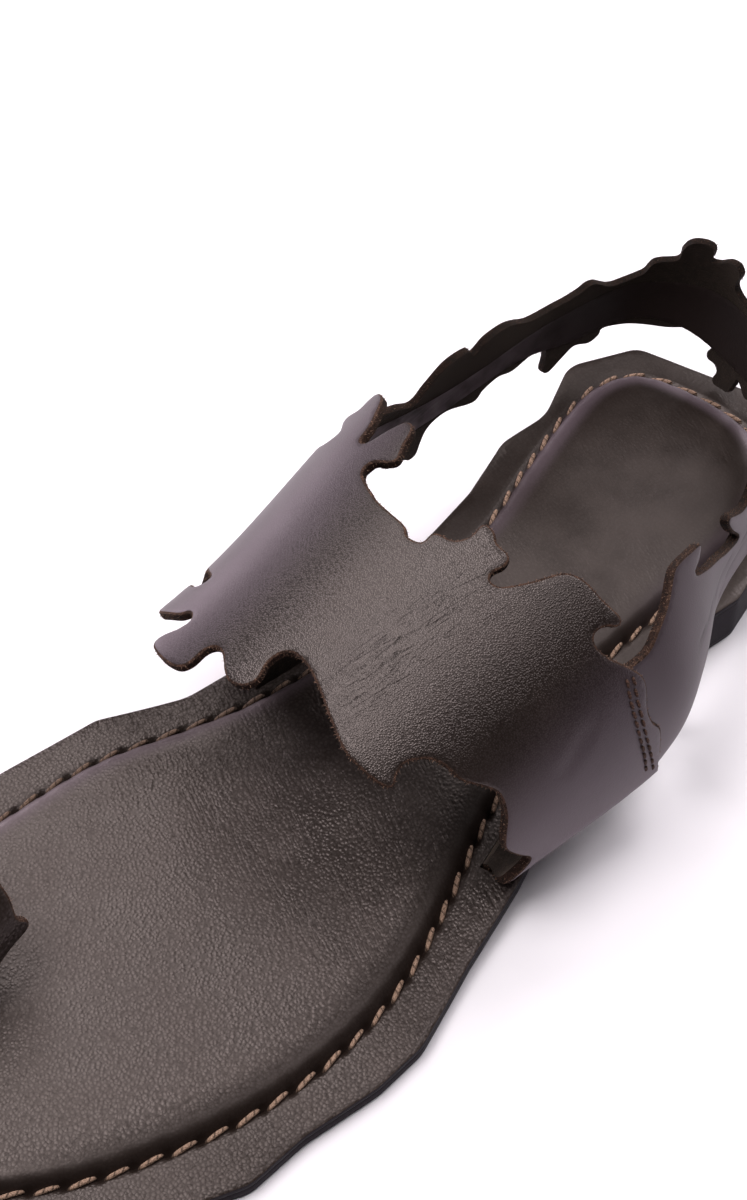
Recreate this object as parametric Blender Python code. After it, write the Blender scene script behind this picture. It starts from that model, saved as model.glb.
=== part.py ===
"""A left split-toe sandal of brown leather, about EU size 38.

Metres, +Z up, +X towards the toe, +Y towards the outer (lateral) side of the foot.
Sizes below are in millimetres and are scaled once, when a mesh is made.
The origin is on the floor, at the middle of the sandal's length and width.
"""

import math

import bmesh
import bpy
from mathutils import Vector
from mathutils.geometry import delaunay_2d_cdt

MM = 0.001

# Sole and footbed
GAP = 0.3                  # between pieces that meet
OUTSOLE_THICK = 2.2        # at the ball
MARGIN_THICK = 1.3         # leather margin of the footbed
PAD_RISE = 2.6             # padded centre above the margin
PAD_ROLL = 7.0             # width of the pad's rolled edge
HEEL_RISE = 8.0            # heel seat above the ball
HEEL_FRONT = -46.0         # where the heel seat starts to fall towards the ball
BALL_BACK = 26.0           # where the fall ends
BREAST_FOOT = -52.0        # front face of the heel, at the floor
BREAST_RUN = 5.0           # length over which that face curves up into the arch
SPRING_START = 80.0        # toe spring starts here
SPRING_RUN = 46.0          # over this length
SPRING_RISE = 5.0          # and lifts the tip by this much
EDGE_STEP = 3.6            # facet length along the sole's outline
SEAM_STEP = 4.5            # and along the pad's seam
PAD_STEP = 9.0             # facet size over the footbed
UNDER_STEP = 14.0          # and over flat undersides

# Leather of the straps
STRAP_THICK = 1.8
STRAP_STEP = 5.0           # facet size over a strap
RIM_STEP = 2.0             # facet length along its cut edge
SLOT_STEP = 4.0            # and along the bends at its slots
BEND_REACH = 2.6           # width that those bends take up in a flat pattern
LOOP_STEP = 7.0            # facet size over the toe loop
LAP_DEPTH = 1.4            # the heel strap lies this far under the instep strap's face
BEND = 0.8                 # radius where a strap comes out of its slot
CLEAR = 0.5                # height of that bend above the footbed
CREST = 2.3                # roundness of an arch above its bulges, 2 being an ellipse
SHARE_MM = 1.6             # flat patterns hold this much for one percent of an arch's girth
GIRTH = 100.0 * SHARE_MM   # and so this much for all of it

# The padded centre's seam, anticlockwise from the heel: x, y
SEAM = (
    (-117.5, -3.0), (-116.0, -15.5), (-112.0, -23.0), (-104.0, -26.3), (-94.0, -25.6),
    (-77.0, -21.8), (-60.0, -17.5), (-40.0, -15.8), (-20.0, -17.6), (0.0, -23.4),
    (12.0, -28.8), (28.0, -35.8), (46.0, -38.8), (64.0, -40.3), (82.0, -40.2),
    (98.0, -37.6), (110.0, -31.5), (117.0, -22.0), (117.6, -11.0), (113.0, 0.0),
    (105.0, 9.5), (96.5, 17.0), (87.0, 23.8), (77.0, 29.0), (66.5, 33.4),
    (55.8, 36.5), (44.0, 38.2), (32.0, 38.2), (20.4, 36.3), (8.7, 32.9),
    (-2.1, 29.2), (-12.7, 25.9), (-28.0, 22.6), (-45.0, 21.1), (-62.0, 21.3),
    (-80.0, 22.0), (-96.0, 21.0), (-108.0, 16.4), (-115.4, 7.5),
)

# The hand-cut edge of the sole, anticlockwise from the heel: corner x, y, rounding
CUT_EDGE = (
    (-125.9, -2.0, 7.0), (-119.8, -27.2, 5.0), (-105.4, -34.4, 7.0), (-91.0, -28.6, 12.0),
    (-79.0, -30.0, 9.0), (-64.0, -25.7, 12.0), (-46.0, -23.4, 12.0), (-28.0, -25.2, 12.0),
    (-12.0, -28.6, 12.0), (7.5, -33.9, 12.0), (22.4, -43.2, 6.0), (43.0, -47.1, 12.0),
    (62.0, -48.0, 12.0), (80.0, -47.4, 12.0), (97.0, -46.8, 10.0), (113.0, -40.4, 8.0),
    (124.2, -27.5, 8.0), (126.2, -9.5, 8.0), (119.0, 7.5, 9.0), (106.0, 20.4, 9.0),
    (92.6, 32.4, 9.0), (68.0, 43.9, 8.0), (56.0, 44.4, 12.0), (41.0, 47.3, 10.0),
    (30.5, 47.5, 10.0), (13.0, 42.8, 9.0), (-4.0, 39.3, 12.0), (-26.0, 32.8, 12.0),
    (-44.0, 30.0, 12.0), (-62.0, 27.4, 12.0), (-79.5, 30.2, 5.0), (-92.0, 27.6, 12.0),
    (-104.5, 28.6, 7.0), (-116.0, 20.4, 8.0),
)

# Cross-sections of an arched strap's outer face, one row each. The strap leaves the
# footbed at a slot on each side, bulges out, and rises to its crown.
# x, inner slot y, inner bulge y, inner bulge z, crown y, crown z,
# outer bulge y, outer bulge z, outer slot y
INSTEP_ROWS = (
    (-60.0, -21.0, -44.0, 25.0, 3.0, 64.0, 45.0, 19.0, 24.5),
    (-25.0, -22.0, -40.0, 24.0, 3.0, 57.0, 45.5, 18.0, 29.5),
    (0.0, -27.6, -38.0, 23.0, 3.0, 49.3, 41.0, 17.3, 34.6),
    (22.0, -36.0, -40.2, 22.5, 3.0, 41.5, 35.0, 16.5, 38.0),
)
TOE_ROWS = (
    (55.0, -43.6, -46.0, 14.0, -28.5, 32.0, -10.0, 13.0, -15.5),
    (75.0, -44.2, -46.2, 14.0, -28.5, 30.0, -9.5, 12.5, -15.0),
    (95.0, -43.2, -45.0, 13.5, -28.0, 27.0, -9.5, 12.0, -14.5),
)

# Leaf-cut edges: share of the girth in percent, inner slot to outer slot, then x
INSTEP_FRONT = (
    (0.0, -3.0), (6.0, -3.0), (13.0, 0.0), (18.5, -1.5), (22.4, -1.0), (26.0, 1.2),
    (28.0, 2.8), (26.4, 4.8), (23.0, 3.4), (20.6, 4.0), (19.6, 6.4), (20.6, 9.2),
    (24.0, 11.6), (28.8, 12.0), (30.8, 10.8), (32.1, 12.0), (31.7, 14.2), (30.2, 16.8),
    (30.2, 18.8), (31.8, 20.0), (34.4, 20.8), (36.9, 20.6), (37.9, 18.8), (38.0, 15.9),
    (39.0, 14.4), (40.5, 14.7), (42.6, 16.8), (44.4, 17.9), (46.5, 17.2), (47.2, 15.0),
    (46.5, 11.8), (46.9, 9.2), (48.2, 8.2), (50.6, 8.5), (53.9, 10.2), (58.6, 13.2),
    (62.3, 15.1), (65.3, 15.4), (68.4, 14.9), (69.9, 13.6), (69.0, 12.0), (68.3, 9.8),
    (68.9, 7.6), (69.8, 6.0), (71.4, 5.0), (73.8, 4.2), (75.8, 1.7), (77.6, 0.0),
    (80.6, 0.3), (83.5, 1.6), (85.8, 1.8), (88.2, -0.6), (90.2, -3.2), (92.2, -2.2),
    (94.4, -0.3), (97.2, -0.6), (100.0, -2.4),
)
INSTEP_REAR = (
    (100.0, -36.0), (94.0, -35.4), (87.6, -33.1), (82.3, -33.2), (80.5, -31.6),
    (78.4, -31.0), (75.3, -32.2), (73.2, -30.6), (71.0, -28.0), (69.2, -27.0),
    (68.1, -28.0), (68.2, -30.4), (69.0, -32.2), (68.5, -33.6), (66.0, -32.8),
    (63.4, -32.4), (61.6, -30.7), (60.2, -25.8), (58.6, -21.6), (57.3, -21.0),
    (56.8, -22.4), (57.2, -24.4), (56.7, -26.4), (54.9, -26.7), (53.8, -28.0),
    (52.4, -28.0), (52.3, -25.0), (51.4, -22.7), (49.2, -21.8), (48.9, -19.2),
    (47.2, -18.7), (46.0, -20.0), (42.0, -21.1), (39.6, -22.6), (37.6, -24.4),
    (37.0, -26.0), (37.5, -27.8), (39.3, -28.8), (39.8, -30.2), (39.2, -33.0),
    (38.9, -35.8), (38.3, -37.4), (37.2, -37.4), (35.9, -34.6), (34.9, -31.7),
    (34.1, -30.9), (33.4, -31.7), (33.2, -35.0), (32.4, -38.8), (31.5, -42.0),
    (30.4, -43.6), (29.2, -44.2), (28.5, -42.4), (28.2, -40.2), (26.3, -39.5),
    (26.3, -37.8), (27.7, -35.1), (28.2, -33.6), (26.6, -31.9), (23.6, -32.8),
    (21.6, -31.6), (18.6, -34.4), (13.0, -40.0), (6.0, -41.0), (0.0, -41.0),
)

# Heel strap: plan positions of its outer face at three heights, from under the instep
# strap on the inner side, round the heel, to under it on the outer side. The rows at
# either end, given by x alone, lie on the instep strap.
STRAP_HEIGHTS = (18.0, 30.0, 42.0)
LAP_INNER = (-24.0, -36.0, -46.0)
LAP_OUTER = (-34.0, -29.0, -24.0)
# x and y at the low, middle and high line
HEEL_ROWS = (
    (-60.0, -39.3, -60.0, -39.2, -60.0, -36.5),
    (-78.0, -36.0, -78.0, -36.3, -78.0, -35.0),
    (-98.0, -34.1, -98.0, -34.4, -98.0, -33.5),
    (-115.4, -29.1, -116.0, -29.3, -115.0, -28.4),
    (-123.6, -15.5, -125.2, -16.0, -125.0, -16.0),
    (-121.6, 0.0, -123.4, 0.0, -123.0, 0.0),
    (-114.0, 14.0, -115.2, 14.6, -115.0, 14.0),
    (-99.6, 23.2, -100.0, 23.5, -99.0, 22.5),
    (-83.0, 27.6, -83.0, 27.8, -82.0, 26.3),
    (-67.0, 32.2, -67.0, 32.6, -65.5, 30.8),
    (-53.0, 39.2, -53.0, 39.9, -52.0, 36.2),
    (-43.0, 43.7, -43.0, 43.7, -42.5, 38.8),
)
# Leaf-cut edges of the heel strap: length along its middle line, z
HEEL_TOP = (
    (4.0, 40.0), (14.0, 38.0), (24.0, 36.5), (31.0, 34.5), (35.8, 32.4), (38.6, 35.8),
    (42.7, 40.2), (48.0, 40.4), (50.2, 37.9), (53.5, 40.2), (59.1, 40.2), (66.3, 36.7),
    (75.0, 36.0), (79.6, 36.4), (83.3, 37.2), (88.8, 34.0), (95.4, 35.5), (98.0, 38.9),
    (102.8, 39.9), (103.6, 43.0), (105.4, 45.4), (108.6, 46.0), (110.7, 45.2),
    (110.9, 43.2), (110.2, 41.4), (112.2, 41.6), (115.0, 43.7), (117.4, 44.1),
    (118.4, 42.0), (117.4, 38.2), (120.0, 36.0), (127.0, 34.2), (134.0, 35.6),
    (139.0, 39.0), (144.0, 40.0), (148.0, 37.4), (153.0, 35.4), (159.0, 36.0),
    (164.0, 39.0), (169.0, 41.6), (174.0, 41.4), (179.0, 38.0), (183.0, 37.6),
    (186.4, 39.5), (188.9, 41.2), (190.1, 40.4), (189.0, 37.2), (186.0, 32.4),
    (191.4, 34.5), (196.7, 37.8), (203.7, 41.8), (207.6, 44.2), (204.0, 44.6),
    (201.6, 46.2), (206.5, 47.8), (210.6, 48.6), (213.7, 48.5), (219.4, 46.4),
    (224.5, 44.6), (228.9, 42.7), (235.0, 42.4),
)
HEEL_BOTTOM = (
    (235.0, 20.0), (233.0, 17.4), (230.4, 13.0), (226.0, 11.0), (221.6, 12.6),
    (219.0, 16.6), (217.0, 16.2), (215.0, 13.0), (213.0, 8.4), (211.4, 6.8),
    (209.8, 7.6), (208.6, 12.0), (205.0, 15.0),
    (199.0, 19.0), (190.0, 20.8), (182.0, 19.8), (176.0, 17.6), (172.0, 15.0),
    (168.0, 16.8), (163.0, 19.6), (156.0, 20.2), (150.0, 18.4), (147.0, 16.8),
    (143.0, 18.6), (137.0, 19.6), (131.0, 17.6), (127.9, 16.3), (125.5, 17.6),
    (123.9, 18.2), (123.2, 16.0), (122.4, 14.0), (120.4, 13.5), (118.0, 13.2),
    (117.2, 14.2), (117.8, 16.0), (116.6, 17.2), (114.4, 17.4), (113.9, 18.8),
    (114.8, 20.6), (113.6, 22.1), (108.7, 22.5), (102.4, 21.1), (92.5, 21.8),
    (87.4, 22.3), (86.6, 20.9), (83.9, 19.9), (79.8, 21.2), (76.7, 19.8),
    (73.0, 17.8), (71.2, 18.8), (71.9, 21.8), (71.8, 24.6), (70.6, 26.3),
    (65.9, 25.6), (61.9, 25.0), (57.9, 26.0), (54.1, 24.9), (51.7, 23.0),
    (45.6, 24.4), (42.1, 23.7), (39.8, 21.9), (38.4, 19.4), (36.9, 16.9),
    (34.6, 16.7), (32.8, 17.9), (29.7, 18.8), (27.4, 19.5), (26.0, 21.4),
    (20.0, 21.7), (12.0, 21.6), (4.0, 22.0),
)

# Leaf-cut edges of the toe loop: share of the girth in percent, x
TOE_FRONT = (
    (0.0, 90.0), (10.0, 89.5), (20.0, 87.0), (27.0, 88.6), (33.0, 91.0), (38.0, 89.4),
    (45.0, 86.6), (53.0, 88.0), (60.0, 90.6), (66.0, 88.4), (74.0, 87.4), (84.0, 89.6),
    (92.0, 90.6), (100.0, 91.0),
)
TOE_REAR = (
    (100.0, 80.0), (92.0, 78.6), (85.0, 74.4), (82.0, 70.2), (80.8, 66.2), (78.6, 65.4),
    (75.9, 66.8), (70.9, 66.2), (66.9, 66.0), (63.1, 64.7), (58.0, 66.4), (51.0, 68.6),
    (44.0, 65.8), (37.0, 66.4), (30.0, 69.0), (22.0, 67.4), (12.0, 68.2), (0.0, 68.0),
)


def ease(share):
    """0 to 1 with level ends."""
    share = min(max(share, 0.0), 1.0)
    return share * share * (3.0 - 2.0 * share)


def marginTop(x):
    """Height of the footbed's margin."""
    heel = HEEL_RISE * ease((BALL_BACK - x) / (BALL_BACK - HEEL_FRONT))
    spring = SPRING_RISE * (max(x - SPRING_START, 0.0) / SPRING_RUN) ** 2
    return OUTSOLE_THICK + GAP + MARGIN_THICK + heel + spring


def soleUnder(x):
    """Height of the outsole's underside: on the floor at heel and ball, raised between."""
    return (marginTop(x) - marginTop(BALL_BACK)) * ease((x - BREAST_FOOT) / BREAST_RUN)


def rowAt(rows, x):
    """A table's values at x, on the curve through all of its rows."""
    values = [0.0] * len(rows[0])
    for row in rows:
        weight = 1.0
        for other in rows:
            if other is not row:
                weight *= (x - other[0]) / (row[0] - other[0])
        values = [value + weight * entry for value, entry in zip(values, row)]
    return values[1:]


def spline(points, step):
    """Points about a step apart on a smooth curve through a table's rows."""
    points = [Vector(point) for point in points]
    padded = [2 * points[0] - points[1]] + points + [2 * points[-1] - points[-2]]
    fine = []
    for before, start, end, after in zip(padded, padded[1:], padded[2:], padded[3:]):
        for turn in range(8):
            share = turn / 8.0
            bend = (2 * before - 5 * start + 4 * end - after) * share**2
            twist = (3 * start - before - 3 * end + after) * share**3
            fine.append(start + 0.5 * ((end - before) * share + bend + twist))
    fine.append(points[-1])
    return resample(fine, step)


def resample(points, step):
    """The same open line in equal steps."""
    lengths = [0.0]
    for start, end in zip(points, points[1:]):
        lengths.append(lengths[-1] + (end - start).length)
    count = max(1, round(lengths[-1] / step))
    result, place = [], 0
    for number in range(count):
        want = lengths[-1] * number / count
        while lengths[place + 1] < want:
            place += 1
        run = lengths[place + 1] - lengths[place]
        share = (want - lengths[place]) / run if run > 0.0 else 0.0
        result.append(points[place].lerp(points[place + 1], share))
    return result + [points[-1].copy()]


def closedSpline(points, step):
    """A smooth closed curve through a table's rows."""
    points = [Vector(point) for point in points]
    wrapped = points[-3:] + points + points[:4]
    padded = spline(wrapped, 0.5)
    first = min(range(len(padded) // 3), key=lambda i: (padded[i] - points[0]).length)
    half = len(padded) // 2
    last = min(range(half, len(padded)), key=lambda i: (padded[i] - points[0]).length)
    return resample(padded[first : last + 1], step)[:-1]


def roundedOutline(corners, step):
    """A closed outline with straight sides, its corners rounded by the third column."""
    line = []
    count = len(corners)
    for number in range(count):
        before = Vector(corners[number - 1][:2])
        here = Vector(corners[number][:2])
        after = Vector(corners[(number + 1) % count][:2])
        back, ahead = (before - here), (after - here)
        turn = math.pi - back.angle(ahead)
        reach = corners[number][2] * math.tan(turn / 2)
        reach = min(reach, 0.42 * back.length, 0.42 * ahead.length)
        start = here + back.normalized() * reach
        end = here + ahead.normalized() * reach
        for part in range(5):
            share = part / 4.0
            line.append(start.lerp(here, share).lerp(here.lerp(end, share), share))
    line.append(line[0].copy())
    return resample(line, step)[:-1]


def inset(ring, depth):
    """The ring moved inwards; depth is a number, or a function of x."""
    moved = []
    count = len(ring)
    for number, here in enumerate(ring):
        along = (ring[(number + 1) % count] - ring[number - 1]).normalized()
        much = depth(here.x) if callable(depth) else depth
        moved.append(here + Vector((-along.y, along.x)) * much)
    return moved


def within(ring, point):
    """True if a point is inside a ring."""
    inside = False
    for start, end in zip(ring, ring[1:] + ring[:1]):
        if (start.y > point.y) != (end.y > point.y):
            slope = (point.y - start.y) / (end.y - start.y)
            if point.x < start.x + slope * (end.x - start.x):
                inside = not inside
    return inside


def clearOf(rings, point, reach):
    """True if a point is further than reach from every ring's points."""
    return all((point - other).length > reach for ring in rings for other in ring)


def grid(rings, step):
    """Points inside the first ring, clear of all rings, in staggered rows."""
    outer = rings[0]
    left, right = min(p.x for p in outer), max(p.x for p in outer)
    low, high = min(p.y for p in outer), max(p.y for p in outer)
    points = []
    for row in range(int((high - low) / step) + 1):
        for column in range(int((right - left) / step) + 1):
            shift = 0.8 if row % 2 else 0.3
            point = Vector((left + (column + shift) * step, low + (row + 0.4) * step))
            if within(outer, point) and clearOf(rings, point, 0.62 * step):
                points.append(point)
    return points


def fill(rings, free):
    """Triangles over the first ring, using every ring's edges and every free point."""
    flat, edges = [], []
    for ring in rings:
        first = len(flat)
        flat += ring
        edges += [
            (first + number, first + (number + 1) % len(ring)) for number in range(len(ring))
        ]
    _, _, faces, origins, _, _ = delaunay_2d_cdt(flat + free, edges, [], 1, 1e-6)
    return [tuple(origins[corner][0] for corner in face) for face in faces]


def leather(name, colour, roughness):
    material = bpy.data.materials.new(name)
    material.use_nodes = True
    shader = material.node_tree.nodes["Principled BSDF"]
    shader.inputs["Base Color"].default_value = (*colour, 1.0)
    shader.inputs["Roughness"].default_value = roughness
    material.diffuse_color = (*colour, 1.0)
    return material


def makeObject(name, points, faces, material):
    """A closed solid from points in millimetres."""
    mesh = bpy.data.meshes.new(name)
    mesh.from_pydata([Vector(point) * MM for point in points], [], faces)
    shape = bmesh.new()
    shape.from_mesh(mesh)
    bmesh.ops.recalc_face_normals(shape, faces=shape.faces)
    shape.to_mesh(mesh)
    shape.free()
    if material:
        mesh.materials.append(material)
    mesh.shade_smooth()
    mesh.set_sharp_from_angle(angle=math.radians(38))
    made = bpy.data.objects.new(name, mesh)
    bpy.context.scene.collection.objects.link(made)
    return made


def helper(made):
    made.hide_render = True
    made.display_type = "WIRE"
    return made


def boolean(target, other, operation):
    modifier = target.modifiers.new(other.name, "BOOLEAN")
    modifier.operation = operation
    modifier.solver = "EXACT"
    modifier.object = other


def slab(name, material, count, top, topFaces, bottom, bottomFaces):
    """A solid between two faces; each starts with its own outline of count points."""
    first = len(top)
    faces = list(topFaces)
    for face in bottomFaces:
        faces.append(tuple(first + corner for corner in reversed(face)))
    for number in range(count):
        after = (number + 1) % count
        faces.append((number, after, first + after, first + number))
    return makeObject(name, top + bottom, faces, material)


def strap(name, material, ring, free, face):
    """A strap of even thickness: ring and free points on its face, and the face itself."""
    flat = ring + free
    outer = [face(point) for point in flat]
    points = [place for place, _ in outer]
    points += [place - normal * STRAP_THICK for place, normal in outer]
    faces = fill([ring], free)
    under = [tuple(len(flat) + corner for corner in reversed(face)) for face in faces]
    sides = []
    for number in range(len(ring)):
        after = (number + 1) % len(ring)
        sides.append((number, len(flat) + number, len(flat) + after, after))
    return makeObject(name, points, faces + under + sides, material)


class Arch:
    """An arched strap's outer face; its flat patterns hold x and a width across."""

    def __init__(self, rows, innerBase, outerBase):
        self.rows = rows
        self.bases = (innerBase, outerBase)
        self.known = {}

    def section(self, x):
        key = round(x, 4)
        if key in self.known:
            return self.known[key]
        inSlot, inY, inZ, crownY, crownZ, outY, outZ, outSlot = rowAt(self.rows, x)
        sides = []
        for slot, bulgeY, bulgeZ, base in (
            (inSlot, inY, inZ, self.bases[0](x) + CLEAR),
            (outSlot, outY, outZ, self.bases[1](x) + CLEAR),
        ):
            away = 1.0 if bulgeY > slot else -1.0
            side = []
            for part in range(6):
                angle = math.radians(18.0 * part)
                y = slot + away * BEND * (1 - math.cos(angle))
                side.append((y, base + BEND * math.sin(angle)))
            startY, startZ = side[-1]
            for part in range(1, 17):
                angle = math.radians(90.0 * part / 16)
                y = startY + (bulgeY - startY) * math.sin(angle)
                side.append((y, startZ + (bulgeZ - startZ) * (1 - math.cos(angle))))
            for part in range(1, 25):
                angle = math.radians(90.0 * part / 24)
                y = crownY + (bulgeY - crownY) * math.cos(angle) ** (2 / CREST)
                side.append((y, bulgeZ + (crownZ - bulgeZ) * math.sin(angle) ** (2 / CREST)))
            sides.append(side)
        line = [Vector(point) for point in sides[0] + sides[1][-2::-1]]
        lengths = [0.0]
        for start, end in zip(line, line[1:]):
            lengths.append(lengths[-1] + (end - start).length)
        self.known[key] = (line, lengths)
        return line, lengths

    def place(self, x, width):
        line, lengths = self.section(x)
        if not 0.0 < width < GIRTH:
            end = line[0] if width <= 0.0 else line[-1]
            return Vector((x, end.x, end.y - max(-width, width - GIRTH)))
        want = width / GIRTH * lengths[-1]
        low, high = 0, len(line) - 1
        while high - low > 1:
            middle = (low + high) // 2
            if lengths[middle] <= want:
                low = middle
            else:
                high = middle
        share = (want - lengths[low]) / (lengths[high] - lengths[low])
        point = line[low].lerp(line[high], share)
        return Vector((x, point.x, point.y))

    def face(self, point):
        x, width = point
        along = self.place(x + 0.2, width) - self.place(x - 0.2, width)
        across = self.place(x, width + 0.25) - self.place(x, width - 0.25)
        return self.place(x, width), along.cross(across).normalized()

    def side(self, x, z, outer):
        """The face's y at this height, on the inner or the outer side."""
        line = self.section(x)[0]
        top = max(range(len(line)), key=lambda number: line[number].y)
        half = line[top:][::-1] if outer else line[: top + 1]
        for start, end in zip(half, half[1:]):
            if start.y <= z <= end.y:
                return start.x + (end.x - start.x) * (z - start.y) / (end.y - start.y)
        return half[0].x

    def pattern(self, front, rear, depths):
        """The strap's flat outline, with tabs that reach down into its slots."""
        edges = []
        for table, order in ((front, (0, 1)), (rear, (1, 0))):
            wide = [Vector((x, share * SHARE_MM)) for share, x in table]
            line = spline(wide, RIM_STEP)
            ends = (line[0].copy(), line[-1].copy())
            for end, index in zip(ends, order):
                end.y += depths[1] if index else -depths[0]
            edges.append([ends[0]] + line + [ends[1]])
        ring = []
        for line, other in ((edges[0], edges[1]), (edges[1], edges[0])):
            ring += line
            ring += resample([line[-1], other[0]], STRAP_STEP)[1:-1]
        return ring

    def bends(self, front, rear, depths):
        """Extra pattern points where the strap turns at its slots."""
        points = []
        inner, outer = (0.0, 0.75, 1.5), (GIRTH, GIRTH - 0.75, GIRTH - 1.5)
        for near, far, widths in (
            (front[0][1], rear[-1][1], inner),
            (front[-1][1], rear[0][1], outer),
        ):
            count = round(abs(near - far) / SLOT_STEP)
            for number in range(1, count):
                x = far + (near - far) * number / count
                points += [Vector((x, width)) for width in widths]
        return points

    def free(self, ring, bends, step):
        """Every free point of the pattern: the bends, and a grid over the rest."""
        inside = [p for p in grid([ring], step) if BEND_REACH < p.y < GIRTH - BEND_REACH]
        return bends + inside


class Band:
    """The heel strap's outer face; flat patterns hold length along it and z."""

    def __init__(self, instep):
        rows = [self.lapRow(instep, x, False) for x in LAP_INNER]
        rows += [[Vector(row[i : i + 2]) for i in (0, 2, 4)] for row in HEEL_ROWS]
        rows += [self.lapRow(instep, x, True) for x in LAP_OUTER]
        self.rows = [[2 * a - b for a, b in zip(rows[0], rows[1])]] + rows
        self.rows += [[2 * a - b for a, b in zip(rows[-1], rows[-2])]]
        self.lengths = [0.0]
        for part in range(1, 8 * (len(rows) - 1) + 1):
            start, end = self.at((part - 1) / 8.0, 1), self.at(part / 8.0, 1)
            self.lengths.append(self.lengths[-1] + (end - start).length)

    def lapRow(self, instep, x, outer):
        depth = -LAP_DEPTH if outer else LAP_DEPTH
        return [Vector((x, instep.side(x, z, outer) + depth)) for z in STRAP_HEIGHTS]

    def at(self, station, height):
        first = min(int(station), len(self.rows) - 4)
        share = station - first
        before, start, end, after = (self.rows[first + i][height] for i in range(4))
        bend = (2 * before - 5 * start + 4 * end - after) * share**2
        twist = (3 * start - before - 3 * end + after) * share**3
        return start + 0.5 * ((end - before) * share + bend + twist)

    def place(self, length, z):
        number = 0
        while number < len(self.lengths) - 2 and self.lengths[number + 1] < length:
            number += 1
        run = self.lengths[number + 1] - self.lengths[number]
        station = (number + (length - self.lengths[number]) / run) / 8.0
        low, middle, high = (self.at(station, height) for height in range(3))
        a, b, c = STRAP_HEIGHTS
        point = low * ((z - b) * (z - c) / ((a - b) * (a - c)))
        point += middle * ((z - a) * (z - c) / ((b - a) * (b - c)))
        point += high * ((z - a) * (z - b) / ((c - a) * (c - b)))
        return Vector((point.x, point.y, z))

    def face(self, point):
        length, z = point
        along = self.place(length + 0.25, z) - self.place(length - 0.25, z)
        rise = self.place(length, z + 0.25) - self.place(length, z - 0.25)
        return self.place(length, z), rise.cross(along).normalized()


def slotCutter(name, arch, front, rear, outer, top, bottom):
    """A cutter that clears a strap's tab by the gap on every side."""
    count = max(2, round((front - rear) / SLOT_STEP))
    rims = ([], [])
    for number in range(count + 1):
        x = rear + (front - rear) * number / count
        place, normal = arch.face((x, GIRTH + GAP if outer else -GAP))
        normal.z = 0.0
        normal.normalize()
        place.x += GAP * ((number == count) - (number == 0))
        rims[0].append(place + normal * GAP)
        rims[1].append(place - normal * (STRAP_THICK + GAP))
    ring = [Vector((place.x, place.y)) for place in rims[0] + rims[1][::-1]]
    points = [(p.x, p.y, bottom(p.x)) for p in ring] + [(p.x, p.y, top(p.x)) for p in ring]
    size = len(ring)
    faces = [tuple(range(size)), tuple(range(2 * size - 1, size - 1, -1))]
    for number in range(size):
        after = (number + 1) % size
        faces.append((number, after, size + after, size + number))
    return helper(makeObject(name, points, faces, None))


def makeFootbed(material, cut, seam):
    """A leather margin round a padded centre that rises from the seam in a soft roll."""
    steps = (0.0, 0.5, 1.6, 3.6, PAD_ROLL)
    rings = [cut] + [inset(seam, step) for step in steps]
    free = grid(rings, PAD_STEP)
    rises = [0.0] + [PAD_RISE * math.sqrt(1 - (1 - step / PAD_ROLL) ** 2) for step in steps]
    top = []
    for ring, rise in zip(rings, rises):
        top += [(point.x, point.y, marginTop(point.x) + rise) for point in ring]
    for point in free:
        rise = PAD_RISE if within(rings[-1], point) else 0.0
        top.append((point.x, point.y, marginTop(point.x) + rise))
    topFaces = fill(rings, free)

    underFree = grid([cut], UNDER_STEP)
    bottom = [(p.x, p.y, marginTop(p.x) - MARGIN_THICK) for p in cut + underFree]
    underFaces = fill([cut], underFree)
    return slab("footbed", material, len(cut), top, topFaces, bottom, underFaces)


def makeOutsole(material, cut):
    """A black unit: thin under the ball, deep under the heel, raised at the waist."""
    topFree = grid([cut], UNDER_STEP)
    free = grid([cut], UNDER_STEP + 2.0)
    for rise in (0.0, 1.5, 3.5, BREAST_RUN):
        x = BREAST_FOOT + rise
        span = [point.y for point in cut if abs(point.x - x) < 6.0]
        free += resample([Vector((x, min(span) + 3.0)), Vector((x, max(span) - 3.0))], 5.0)
    upper = [(p.x, p.y, marginTop(p.x) - MARGIN_THICK - GAP) for p in cut + topFree]
    lower = [(p.x, p.y, soleUnder(p.x)) for p in cut + free]
    topFaces, footFaces = fill([cut], topFree), fill([cut], free)
    return slab("outsole", material, len(cut), upper, topFaces, lower, footFaces)


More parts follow.
